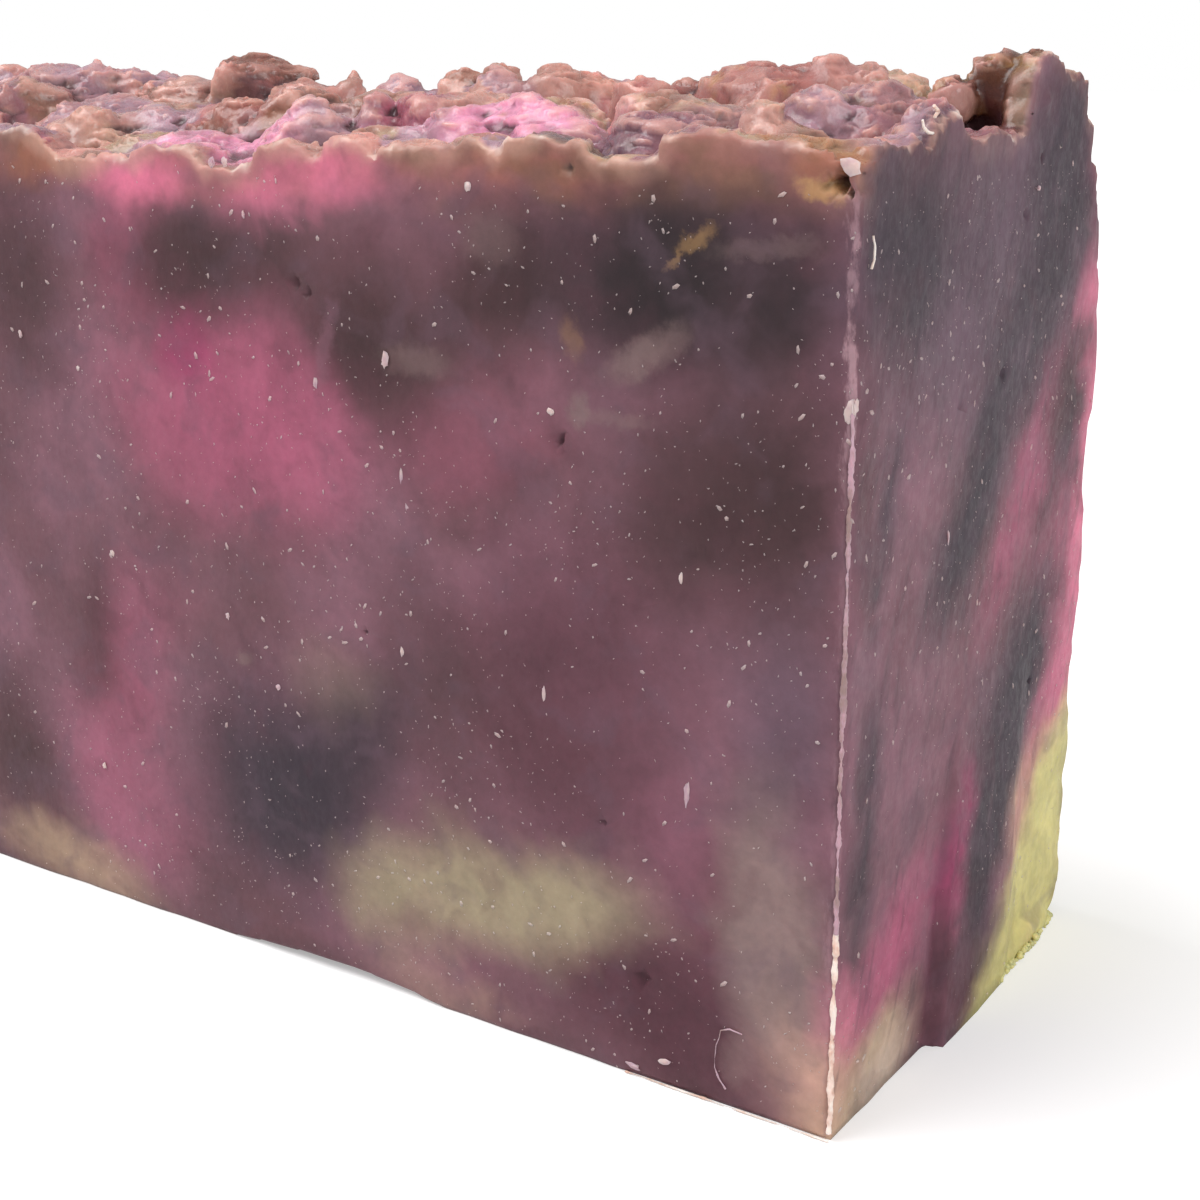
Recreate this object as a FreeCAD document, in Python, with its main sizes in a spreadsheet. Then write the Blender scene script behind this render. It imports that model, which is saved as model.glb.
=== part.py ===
# Hand-cut bar of swirled soap with a torn, craggy top.
#
# The bar is one cast piece, cut from a loaf. Its frame: X runs along the bar, with the near cut
# end at +X. The front long face is at -Y and Z is up. The origin is at the middle of the foot.
# Lengths are in millimetres.

import FreeCAD, Part

import math
import os
import random
from dataclasses import dataclass

import Sketcher

Vec = FreeCAD.Vector

# Driving dimensions: alias, value and what it measures.
SIZES = (
    ("bar_length", 120.0, "cut end to cut end"),
    ("bar_thickness", 39.5, "long face to long face"),
    ("bed_height", 56.2, "foot to the bed that the torn crag grows from"),
    ("foot_radius", 3.5, "rounded corner along the back of the foot, left by the mould"),
    ("shoulder_height", 48.0, "foot to where the back starts to lean in"),
    ("shoulder_inset", 2.2, "how far the back has leaned in at the bed"),
    ("lobe_proud", 1.2, "how far the dragged lobe stands off the near end, at the foot"),
    ("lobe_fade", 0.05, "how far it still stands off at its top"),
    ("lobe_rise", 24.0, "foot to the top of the lobe"),
    ("lobe_front", 13.4, "front long face to the lobe's crease, at the foot"),
    ("lobe_lean", 3.0, "how much farther back the crease is at the lobe's top"),
    ("lobe_step", 0.8, "width of the crease's slope"),
    ("lobe_flat", 11.0, "width of the lobe's proudest part"),
    ("lobe_width", 20.0, "whole width of the lobe"),
    ("lobe_root", 1.0, "how deep the lobe is rooted in the block"),
    ("hollow_place", 40.0, "near end to the middle of the hollow under the front edge"),
    ("hollow_span", 20.0, "length of that hollow"),
    ("hollow_rise", 0.7, "height of that hollow"),
    ("hollow_depth", 6.0, "how far it reaches in under the foot"),
    ("crag_root", 1.0, "how deep each lump of the crag is rooted below the bed"),
    ("crag_pitch", 7.4, "spacing of the lumps, along and across the bar"),
    ("lump_width", 10.6, "usual width of a lump"),
    ("crest_pitch", 5.2, "spacing of the lumps that the front cut went through"),
    ("crest_width", 9.0, "usual width of those lumps"),
    ("middle_rise", 4.6, "bed to the usual top of the lumps in the middle"),
    ("margin_rise", 3.0, "bed to the usual top of the lumps next to the front and the back"),
    ("rise_spread", 1.7, "how much higher or lower than usual a lump may end"),
    ("end_margin", 7.0, "near end to the first of the scattered lumps"),
)

# Height of the torn edge over the bed where the front cut went through it, by distance from the
# near end. Beyond the last one the edge wanders about CREST_BEYOND.
FRONT_CREST = (
    (0, 3.7), (2.4, 3.6), (5.2, 2.9), (7.9, 3.6), (10.7, 2.8), (14, 1.2), (21, 3.1),
    (30, 2.1), (37, 2.7), (46, 0.5), (51, 1.7), (58, 0.4), (65, 1.3),
)
CREST_BEYOND = 1.6


@dataclass(frozen=True)
class Lump:
    """One torn lump of the crag, placed from the near end and from the front long face."""

    name: str
    back: float         # near end to the lump's middle
    inward: float       # front long face to the lump's middle
    along: float        # width along the bar
    across: float       # width across the bar
    rise: float         # bed to the lump's top
    crown: float = 0.6  # share of the width that is left near the top
    sides: int = 6
    turn: float = 0.0   # degrees about Z
    lean: float = 0.0   # how far the top leans towards the back of the bar, per height


# Lumps that stand out: those the near cut went through come first, then those on the top.
LANDMARKS = (
    Lump("corner_stub", 1.6, 4.0, 6.0, 7.6, 2.8, 0.7, 6),
    Lump("finger_root", 1.4, 7.6, 5.6, 6.0, 3.1, 0.6, 6),
    Lump("finger", 1.2, 11.6, 6.0, 7.0, 5.0, 0.4, 7, lean=0.12),
    Lump("ledge", 1.0, 19.6, 7.0, 14.0, 2.8, 0.85, 7),
    Lump("column", 0.6, 27.4, 4.4, 7.4, 7.8, 0.75, 7, lean=-0.12),
    Lump("column_back", 1.2, 31.8, 6.6, 7.0, 6.2, 0.9, 6),
    Lump("column_chunk", 3.2, 27.2, 4.6, 6.4, 7.5, 0.95, 4, 8.0),
    Lump("back_stub", 2.0, 34.8, 7.0, 5.4, 3.2, 0.8, 6),
    Lump("gloss_pebble", 9.6, 13.4, 5.4, 5.4, 5.7, 0.75, 8),
    Lump("small_pebble", 10.6, 8.6, 4.2, 4.2, 4.9, 0.7, 6),
    Lump("folded_mound", 18.0, 22.0, 13.6, 9.0, 6.7, 0.7, 9),
    Lump("back_mound", 11.4, 28.6, 8.6, 7.6, 6.5, 0.65, 7),
    Lump("grey_slope", 17.0, 6.6, 8.6, 7.0, 4.0, 0.7, 7, lean=0.3),
    Lump("round_pebble", 26.0, 19.6, 5.2, 5.2, 5.9, 0.8, 8),
    Lump("pink_ridge", 27.4, 8.6, 14.6, 7.6, 5.2, 0.3, 8, -8.0),
    Lump("pink_ridge_foot", 31.4, 7.0, 8.0, 6.6, 4.3, 0.6, 7, 10.0),
    Lump("back_knob", 41.4, 24.0, 5.4, 5.4, 6.7, 0.8, 7),
    Lump("back_run", 35.4, 26.4, 10.6, 6.6, 6.3, 0.75, 8),
    Lump("ring_left", 42.0, 10.8, 3.6, 5.0, 5.2, 0.5, 6),
    Lump("ring_right", 37.2, 11.0, 3.6, 5.4, 4.9, 0.5, 6),
    Lump("pale_facet", 45.4, 8.0, 7.2, 6.6, 4.8, 0.3, 5, 20.0),
    Lump("orange_facet", 55.2, 11.6, 7.2, 6.6, 4.9, 0.55, 5, -15.0),
    Lump("thin_spike", 55.2, 24.0, 5.0, 4.6, 6.6, 0.34, 5),
    Lump("brown_box", 63.8, 22.0, 11.6, 8.4, 7.7, 0.95, 4, 38.0),
    Lump("pale_left", 67.0, 8.0, 5.4, 5.4, 4.2, 0.6, 6),
    Lump("left_knob", 78.6, 26.0, 5.0, 5.4, 6.5, 0.65, 6),
    Lump("left_mound", 84.6, 20.0, 12.4, 9.0, 7.1, 0.7, 8),
)

# The small dark cavity just below the torn edge, at the corner of the front and the near end.
CAVITY = Lump("corner_cavity", 2.0, 0.3, 2.2, 2.8, 0.0, 0.5, 6)
CAVITY_LIFT = 0.9   # bed to the cavity's middle
CAVITY_HEIGHT = 1.4

# How unevenly a lump is torn: shares of its width, of its rise and of the angle between sides.
WOBBLE_WIDTH = 0.16
WOBBLE_RISE = 0.09
WOBBLE_ANGLE = 0.24
WAIST_LEVEL = 0.42  # share of the rise at which a lump is widest
CROWN_LEVEL = 0.86
ROOT_SHARE = 0.92   # share of the width that a lump has at its root

# What the lumps along the front cut vary in. Widths are shares of the usual width.
CREST_START_SHARE = 0.9   # near end to the first one, in pitches
CREST_INWARD = (0.6, 1.8)
CREST_ALONG_SHARE = (0.8, 1.1)
CREST_ACROSS_SHARE = (0.7, 0.9)
CREST_LIFT = (0.0, 0.5)
CREST_WANDER = 0.9  # how far the edge rises or falls beyond the last named height
CREST_CROWN_SHARE = (0.55, 0.8)

# What the scattered lumps vary in. Shifts are shares of the pitch.
SHIFT_ALONG_SHARE = 0.3
SHIFT_ACROSS_SHARE = 0.25
SPREAD_ALONG_SHARE = (0.8, 1.2)
SPREAD_ACROSS_SHARE = (0.75, 1.1)
SPREAD_CROWN_SHARE = (0.4, 0.75)
SPREAD_TURN_ANGLE = (0, 60)
SPREAD_LEAN_SHARE = 0.25
SIDE_COUNTS = (5, 6, 6, 7)


def make_sheet(doc):
    """Writes the driving dimensions to a spreadsheet and returns it."""
    sheet = doc.addObject("Spreadsheet::Sheet", "Sizes")
    for row, (alias, value, meaning) in enumerate(SIZES, start=1):
        sheet.set(f"A{row}", meaning)
        sheet.set(f"B{row}", str(value))
        sheet.setAlias(f"B{row}", alias)
    doc.recompute()
    return sheet


def origin_plane(body, role):
    """Finds one of a body's own origin planes by its role."""
    return next(plane for plane in body.Origin.OriginFeatures if plane.Role == role)


def new_sketch(body, name, role, lift=None):
    """Adds a sketch on an origin plane of the body, lifted off it by an expression."""
    sketch = body.newObject("Sketcher::SketchObject", name)
    sketch.AttachmentSupport = [(origin_plane(body, role), "")]
    sketch.MapMode = "FlatFace"
    if lift:
        sketch.setExpression("AttachmentOffset.Base.z", lift)
    return sketch


def bind(sketch, kind, reference, value, formula):
    """Adds one dimension to a sketch and binds it to the sheet."""
    index = sketch.addConstraint(Sketcher.Constraint(kind, *reference, value))
    sketch.setExpression(f"Constraints[{index}]", formula)


def closed_outline(sketch, corners):
    """Draws straight lines through the corners, closes them and binds each corner to its formulas."""
    points = [Vec(across, up, 0) for (across, _), (up, _) in corners]
    following = points[1:] + points[:1]
    lines = [sketch.addGeometry(Part.LineSegment(a, b)) for a, b in zip(points, following)]
    for line, after in zip(lines, lines[1:] + lines[:1]):
        sketch.addConstraint(Sketcher.Constraint("Coincident", line, 2, after, 1))
    for line, (across, up) in zip(lines, corners):
        bind(sketch, "DistanceX", (-1, 1, line, 1), *across)
        bind(sketch, "DistanceY", (-1, 1, line, 1), *up)


def draw_end_profile(body, size):
    """Draws the section across the bar: square in front, rounded and leaning in at the back."""
    thick, bed, radius = size["bar_thickness"], size["bed_height"], size["foot_radius"]
    shoulder, inset = size["shoulder_height"], size["shoulder_inset"]
    sketch = new_sketch(body, "end_profile", "YZ_Plane")
    foot_end, back_start = Vec(thick - radius, 0, 0), Vec(thick, radius, 0)
    shoulder_point, top_point = Vec(thick, shoulder, 0), Vec(thick - inset, bed, 0)
    arc = Part.Circle(Vec(thick - radius, radius, 0), Vec(0, 0, 1), radius)
    foot = sketch.addGeometry(Part.LineSegment(Vec(0, 0, 0), foot_end))
    corner = sketch.addGeometry(Part.ArcOfCircle(arc, -math.pi / 2, 0))
    back = sketch.addGeometry(Part.LineSegment(back_start, shoulder_point))
    lean = sketch.addGeometry(Part.LineSegment(shoulder_point, top_point))
    top = sketch.addGeometry(Part.LineSegment(top_point, Vec(0, bed, 0)))
    front = sketch.addGeometry(Part.LineSegment(Vec(0, bed, 0), Vec(0, 0, 0)))
    for kind, reference in (
        ("Coincident", (foot, 1, -1, 1)),
        ("Horizontal", (foot,)),
        ("Tangent", (foot, 2, corner, 1)),
        ("Tangent", (corner, 2, back, 1)),
        ("Vertical", (back,)),
        ("Coincident", (back, 2, lean, 1)),
        ("Coincident", (lean, 2, top, 1)),
        ("Horizontal", (top,)),
        ("Coincident", (top, 2, front, 1)),
        ("Coincident", (front, 2, foot, 1)),
        ("Vertical", (front,)),
    ):
        sketch.addConstraint(Sketcher.Constraint(kind, *reference))
    bind(sketch, "Radius", (corner,), radius, "Sizes.foot_radius")
    bind(sketch, "DistanceX", (-1, 1, lean, 1), thick, "Sizes.bar_thickness")
    bind(sketch, "DistanceY", (-1, 1, lean, 1), shoulder, "Sizes.shoulder_height")
    bind(sketch, "DistanceX", (top, 1, lean, 1), inset, "Sizes.shoulder_inset")
    bind(sketch, "DistanceY", (-1, 1, top, 1), bed, "Sizes.bed_height")
    return sketch


def draw_lobe_level(body, size, name, proud, lean, lift):
    """Draws the lobe's outline at one level, from its crease to where it fades into the end."""
    end, root = size["bar_length"], size["lobe_root"]
    front = size["lobe_front"] + (size[lean] if lean else 0)
    front_formula = "Sizes.lobe_front" + (f" + Sizes.{lean}" if lean else "")
    inner = (end - root, "Sizes.bar_length - Sizes.lobe_root")
    outer = (end + size[proud], f"Sizes.bar_length + Sizes.{proud}")
    step, flat, width = size["lobe_step"], size["lobe_flat"], size["lobe_width"]
    levels = (
        (inner, (front, front_formula)),
        (outer, (front + step, f"{front_formula} + Sizes.lobe_step")),
        (outer, (front + step + flat, f"{front_formula} + Sizes.lobe_step + Sizes.lobe_flat")),
        (inner, (front + width, f"{front_formula} + Sizes.lobe_width")),
    )
    sketch = new_sketch(body, name, "XY_Plane", lift)
    closed_outline(sketch, levels)
    return sketch


def add_lobe(body, size):
    """Adds the lobe of soft soap that the cutter dragged out of the near end."""
    loft = body.newObject("PartDesign::AdditiveLoft", "lobe")
    loft.Profile = draw_lobe_level(body, size, "lobe_foot", "lobe_proud", None, None)
    loft.Sections = [draw_lobe_level(body, size, "lobe_top", "lobe_fade", "lobe_lean", "Sizes.lobe_rise")]
    loft.Ruled = True


def add_hollow(body, size):
    """Cuts the shallow hollow where the foot has shrunk up under the front edge."""
    middle = size["bar_length"] - size["hollow_place"]
    half, rise = size["hollow_span"] / 2, size["hollow_rise"]
    sketch = new_sketch(body, "hollow_section", "XZ_Plane")
    place = "Sizes.bar_length - Sizes.hollow_place"
    radius = (half ** 2 + rise ** 2) / (2 * rise)
    reach = math.asin(half / radius)
    roof = Part.Circle(Vec(middle, rise - radius, 0), Vec(0, 0, 1), radius)
    arc = sketch.addGeometry(Part.ArcOfCircle(roof, math.pi / 2 - reach, math.pi / 2 + reach))
    floor = sketch.addGeometry(Part.LineSegment(Vec(middle - half, 0, 0), Vec(middle + half, 0, 0)))
    for reference in ((arc, 2, floor, 1), (floor, 2, arc, 1)):
        sketch.addConstraint(Sketcher.Constraint("Coincident", *reference))
    for end in (1, 2):
        sketch.addConstraint(Sketcher.Constraint("PointOnObject", floor, end, -1))
    bind(sketch, "DistanceX", (-1, 1, floor, 1), middle - half, f"{place} - Sizes.hollow_span / 2")
    bind(sketch, "DistanceX", (floor, 1, floor, 2), 2 * half, "Sizes.hollow_span")
    bind(sketch, "Radius", (arc,), radius,
         "(Sizes.hollow_span ^ 2 / 4 + Sizes.hollow_rise ^ 2) / (2 * Sizes.hollow_rise)")
    hollow = body.newObject("PartDesign::Pocket", "hollow")
    hollow.Profile = sketch
    hollow.setExpression("Length", "Sizes.hollow_depth")


def make_block(doc, size):
    """Builds the cast block under the crag as one body, with its lobe and its hollow."""
    body = doc.addObject("PartDesign::Body", "block")
    pad = body.newObject("PartDesign::Pad", "cut_length")
    pad.Profile = draw_end_profile(body, size)
    pad.setExpression("Length", "Sizes.bar_length")
    doc.recompute()
    add_lobe(body, size)
    doc.recompute()
    add_hollow(body, size)
    body.setExpression("Placement.Base.x", "-(Sizes.bar_length + Sizes.lobe_proud) / 2")
    body.setExpression("Placement.Base.y", "-Sizes.bar_thickness / 2")
    doc.recompute()
    return body


def torn_ring(lump, dice, middle, share, level):
    """Returns the corners of one uneven ring of a lump, counter-clockwise from above."""
    turn = math.radians(lump.turn)
    corners = []
    for side in range(lump.sides):
        angle = 2 * math.pi * (side + 0.5 + dice.uniform(-WOBBLE_ANGLE, WOBBLE_ANGLE)) / lump.sides
        reach = share * dice.uniform(1 - WOBBLE_WIDTH, 1 + WOBBLE_WIDTH) / 2
        along, across = lump.along * reach * math.cos(angle), lump.across * reach * math.sin(angle)
        corners.append(middle + Vec(
            along * math.cos(turn) - across * math.sin(turn),
            along * math.sin(turn) + across * math.cos(turn) + lump.lean * level,
            level,
        ))
    return corners


def triangle(first, second, third):
    """Makes one flat face from three corners."""
    return Part.Face(Part.makePolygon([first, second, third, first]))


def torn_solid(lump, middle, low, high):
    """Makes a lump between two heights: a root, a waist, a crown and one highest point."""
    dice = random.Random(lump.name)
    rings = [torn_ring(lump, dice, middle, ROOT_SHARE, low)]
    for share, level in ((1.0, WAIST_LEVEL), (lump.crown, CROWN_LEVEL)):
        ring = torn_ring(lump, dice, middle, share, max(low, 0) + level * (high - max(low, 0)))
        for corner in ring:
            corner.z += high * dice.uniform(-WOBBLE_RISE, WOBBLE_RISE)
        rings.append(ring)
    peak = middle + Vec(0, lump.lean * high, high)
    faces = []
    for lower, upper in zip(rings, rings[1:]):
        for side in range(lump.sides):
            after = (side + 1) % lump.sides
            faces.append(triangle(lower[side], lower[after], upper[side]))
            faces.append(triangle(lower[after], upper[after], upper[side]))
    faces += [triangle(rings[-1][side - 1], rings[-1][side], peak) for side in range(lump.sides)]
    faces.append(Part.Face(Part.makePolygon(rings[0][::-1] + rings[0][-1:])))
    solid = Part.makeSolid(Part.makeShell(faces))
    return solid if solid.Volume > 0 else solid.reversed()


def crest_rise(back):
    """Height of the torn edge over the bed on the front cut, at a distance from the near end."""
    for (near, near_rise), (far, far_rise) in zip(FRONT_CREST, FRONT_CREST[1:]):
        if near <= back <= far:
            return near_rise + (far_rise - near_rise) * (back - near) / (far - near)
    return CREST_BEYOND


def crest_lumps(size):
    """The row of lumps that the front cut went through, from the near end to the far one."""
    pitch, width = size["crest_pitch"], size["crest_width"]
    for column in range(math.ceil(size["bar_length"] / pitch)):
        dice = random.Random(f"crest {column}")
        back = (column + CREST_START_SHARE) * pitch
        rise = crest_rise(back) + dice.uniform(*CREST_LIFT)
        if back > FRONT_CREST[-1][0]:
            rise += dice.uniform(-CREST_WANDER, CREST_WANDER)
        yield Lump(
            f"crest_{column}", back, dice.uniform(*CREST_INWARD), width * dice.uniform(*CREST_ALONG_SHARE),
            width * dice.uniform(*CREST_ACROSS_SHARE), rise, dice.uniform(*CREST_CROWN_SHARE),
            dice.choice(SIDE_COUNTS),
        )


def scattered_lumps(size):
    """The lumps that fill the top between the landmarks, row by row."""
    pitch, width, spread = size["crag_pitch"], size["lump_width"], size["rise_spread"]
    thick, margin = size["bar_thickness"], size["end_margin"]
    rows = round(thick / pitch)
    columns = math.ceil((size["bar_length"] - margin) / pitch)
    for row in range(1, rows + 1):
        inward = min(row * pitch, thick - size["shoulder_inset"] - width / 3)
        edge_row = row == 1 or row == rows
        usual = size["margin_rise"] if edge_row else size["middle_rise"]
        for column in range(columns):
            dice = random.Random(f"row {row} column {column}")
            shift = dice.uniform(-SHIFT_ALONG_SHARE, SHIFT_ALONG_SHARE) + row % 2 / 2
            aside = dice.uniform(-SHIFT_ACROSS_SHARE, SHIFT_ACROSS_SHARE)
            yield Lump(
                f"lump_{row}_{column}", margin + (column + shift) * pitch, inward + aside * pitch,
                width * dice.uniform(*SPREAD_ALONG_SHARE), width * dice.uniform(*SPREAD_ACROSS_SHARE),
                usual + dice.uniform(-spread, spread), dice.uniform(*SPREAD_CROWN_SHARE),
                dice.choice(SIDE_COUNTS), dice.uniform(*SPREAD_TURN_ANGLE),
                dice.uniform(-SPREAD_LEAN_SHARE, SPREAD_LEAN_SHARE),
            )


def crag_solids(size, stock, cavity):
    """Makes every lump of the crag, trimmed flush by the cuts and opened by the cavity."""
    near_end = (size["bar_length"] - size["lobe_proud"]) / 2
    front, bed = -size["bar_thickness"] / 2, size["bed_height"]
    for lump in (*LANDMARKS, *crest_lumps(size), *scattered_lumps(size)):
        middle = Vec(near_end - lump.back, front + lump.inward, bed)
        solid = torn_solid(lump, middle, -size["crag_root"], lump.rise).common(stock)
        if solid.Solids and solid.BoundBox.intersect(cavity.BoundBox):
            solid = solid.cut(cavity)
        yield from solid.Solids


def make_cavity(doc, size):
    """Makes the solid that is torn out at the near front corner."""
    near_end = (size["bar_length"] - size["lobe_proud"]) / 2
    middle = Vec(near_end - CAVITY.back, CAVITY.inward - size["bar_thickness"] / 2,
                 size["bed_height"] + CAVITY_LIFT)
    feature = doc.addObject("Part::Feature", "corner_cavity")
    feature.Shape = torn_solid(CAVITY, middle, -CAVITY_HEIGHT / 2, CAVITY_HEIGHT / 2)
    return feature


def make_cut_stock(doc):
    """Makes the space between the cutter's planes, which trims the lumps flush."""
    stock = doc.addObject("Part::Box", "cut_stock")
    stock.setExpression("Length", "Sizes.bar_length")
    stock.setExpression("Width", "Sizes.bar_thickness - Sizes.shoulder_inset")
    stock.setExpression("Height", "Sizes.bed_height * 2")
    stock.setExpression("Placement.Base.x", "-(Sizes.bar_length + Sizes.lobe_proud) / 2")
    stock.setExpression("Placement.Base.y", "-Sizes.bar_thickness / 2")
    return stock


def make_bar(doc, size):
    """Joins the block and the crag into the one solid that the bar is."""
    stock, cavity = make_cut_stock(doc), make_cavity(doc, size)
    block = doc.addObject("Part::Cut", "opened_block")
    block.Base, block.Tool = make_block(doc, size), cavity
    doc.recompute()
    bar = doc.addObject("Part::Feature", "bar")
    bar.Shape = block.Shape.multiFuse(list(crag_solids(size, stock.Shape, cavity.Shape))).removeSplitter()
    bar.Label = "soap_bar"
    return bar


def check(doc, bar):
    """Stops the build if any feature failed or the bar isn't one sound solid."""
    for feature in doc.Objects:
        if {"Invalid", "Error"} & set(feature.State):
            raise RuntimeError(f"{feature.Label} failed: {feature.State}")
    shape = bar.Shape
    if shape.isNull() or not shape.isValid() or len(shape.Solids) != 1:
        raise RuntimeError(f"{bar.Label} isn't one sound solid")


def main():
    """Builds the bar and writes its one node."""
    doc = FreeCAD.newDocument("hand_cut_soap")
    sheet = make_sheet(doc)
    size = {alias: float(sheet.get(alias)) for alias, _, _ in SIZES}
    bar = make_bar(doc, size)
    doc.recompute()
    check(doc, bar)
    os.makedirs("parts", exist_ok=True)
    bar.Shape.exportStep(f"parts/{bar.Label}.step")
    box = bar.Shape.BoundBox
    print(f"{bar.Label}: {len(bar.Shape.Faces)} faces, {bar.Shape.Volume / 1000:.1f} ml")
    print(f"low corner {box.XMin:.2f}, {box.YMin:.2f}, {box.ZMin:.2f}")
    print(f"high corner {box.XMax:.2f}, {box.YMax:.2f}, {box.ZMax:.2f}")


main()
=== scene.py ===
"""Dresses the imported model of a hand-cut bar of swirled soap.

The bar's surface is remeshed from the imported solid, its torn top is roughened, and one procedural
material carries the pigments. Small pieces of the same soap lie on it: burrs, crumbs and flakes.
Lengths in the classes are in millimetres, as on a maker's drawing. Meshes are in metres.
"""

from __future__ import annotations

import logging
import math
import random
from dataclasses import dataclass, field
from enum import Enum

import bmesh
import bpy
from mathutils import Matrix, Vector

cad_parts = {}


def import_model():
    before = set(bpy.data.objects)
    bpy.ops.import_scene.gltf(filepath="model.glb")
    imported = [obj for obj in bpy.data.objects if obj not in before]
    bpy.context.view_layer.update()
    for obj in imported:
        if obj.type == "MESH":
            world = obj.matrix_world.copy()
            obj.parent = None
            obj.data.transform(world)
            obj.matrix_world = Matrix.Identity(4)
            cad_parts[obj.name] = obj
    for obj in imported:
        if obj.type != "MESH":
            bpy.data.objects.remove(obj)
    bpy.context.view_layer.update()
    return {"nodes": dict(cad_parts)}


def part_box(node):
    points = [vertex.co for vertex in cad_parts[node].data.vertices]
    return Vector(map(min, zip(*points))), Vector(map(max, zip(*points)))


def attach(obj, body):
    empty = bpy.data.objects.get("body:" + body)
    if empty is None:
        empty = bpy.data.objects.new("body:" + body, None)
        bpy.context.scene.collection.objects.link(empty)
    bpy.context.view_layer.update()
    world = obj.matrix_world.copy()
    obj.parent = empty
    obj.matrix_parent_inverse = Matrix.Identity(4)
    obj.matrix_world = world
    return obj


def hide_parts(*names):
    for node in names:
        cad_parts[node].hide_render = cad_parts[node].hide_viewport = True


LOG = logging.getLogger("soap")
MM = 0.001
NODE = "soap_bar"
BODY = "root"

Socket = bpy.types.NodeSocket


class Face(Enum):
    """The two cut faces that carry placed pigment."""

    FRONT = "front long face"
    END = "near cut end"


class Pigment(Enum):
    """The soap's colours, as they look in plain light: red, green and blue out of 255."""

    GROUND = (112, 76, 84)
    DUSK = (108, 84, 98)
    MAUVE = (140, 98, 112)
    ROSE = (178, 96, 124)
    MAGENTA = (158, 64, 104)
    CANDY = (222, 124, 152)
    WINE = (92, 52, 64)
    UMBER = (76, 49, 53)
    PLUM = (50, 35, 40)
    SLATE = (62, 49, 60)
    OLIVE = (164, 149, 124)
    TAN = (190, 164, 136)
    YELLOW = (218, 208, 142)
    PEACH = (206, 164, 148)
    RUST = (156, 100, 74)
    BRICK = (168, 108, 106)
    GOLD = (176, 132, 84)
    TOAST = (136, 98, 84)
    SALMON = (206, 148, 134)
    LILAC = (178, 144, 156)
    BLUSH = (232, 160, 188)
    CREAM = (238, 218, 208)
    SPECK = (204, 178, 174)
    WORN = (178, 144, 152)
    STRAW = (198, 156, 104)
    # Painted highlight colour for the crag's crests, not a colour of the soap itself.
    GLOW = (228, 180, 168)
    BARK = (92, 52, 34)
    FOG = (142, 118, 116)

    @property
    def linear(self) -> tuple[float, float, float, float]:
        """The colour in linear light, with full alpha."""
        return (*[to_linear(channel / 255) for channel in self.value], 1.0)


def to_linear(channel: float) -> float:
    """Turns one display colour channel into linear light.

    Args:
        channel: The display value, from 0 to 1.

    Returns:
        The linear value, from 0 to 1.
    """
    if channel <= 0.04045:
        return channel / 12.92
    return ((channel + 0.055) / 1.055) ** 2.4


Value = float | int | tuple | Socket | Pigment


@dataclass(frozen=True)
class Bar:
    """Where the bar's faces lie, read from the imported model."""

    low: Vector
    high: Vector
    lobe_proud: float = 1.2
    bed_height: float = 56.2

    @property
    def near_end(self) -> float:
        """X of the near cut end, in millimetres."""
        return self.high.x / MM - self.lobe_proud

    @property
    def front(self) -> float:
        """Y of the front long face, in millimetres."""
        return self.low.y / MM

    @property
    def back(self) -> float:
        """Y of the back, in millimetres."""
        return self.high.y / MM

    @property
    def far_end(self) -> float:
        """X of the far cut end, in millimetres."""
        return self.low.x / MM

    @property
    def top(self) -> float:
        """Height of the highest lump, in millimetres."""
        return self.high.z / MM

    def on_front(self, back: float, up: float) -> Vector:
        """A point of the front face, by distance from the near end and height."""
        return Vector((self.near_end - back, self.front, up))

    def on_end(self, inward: float, up: float) -> Vector:
        """A point of the near end, by distance from the front face and height."""
        return Vector((self.near_end, self.front + inward, up))


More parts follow.
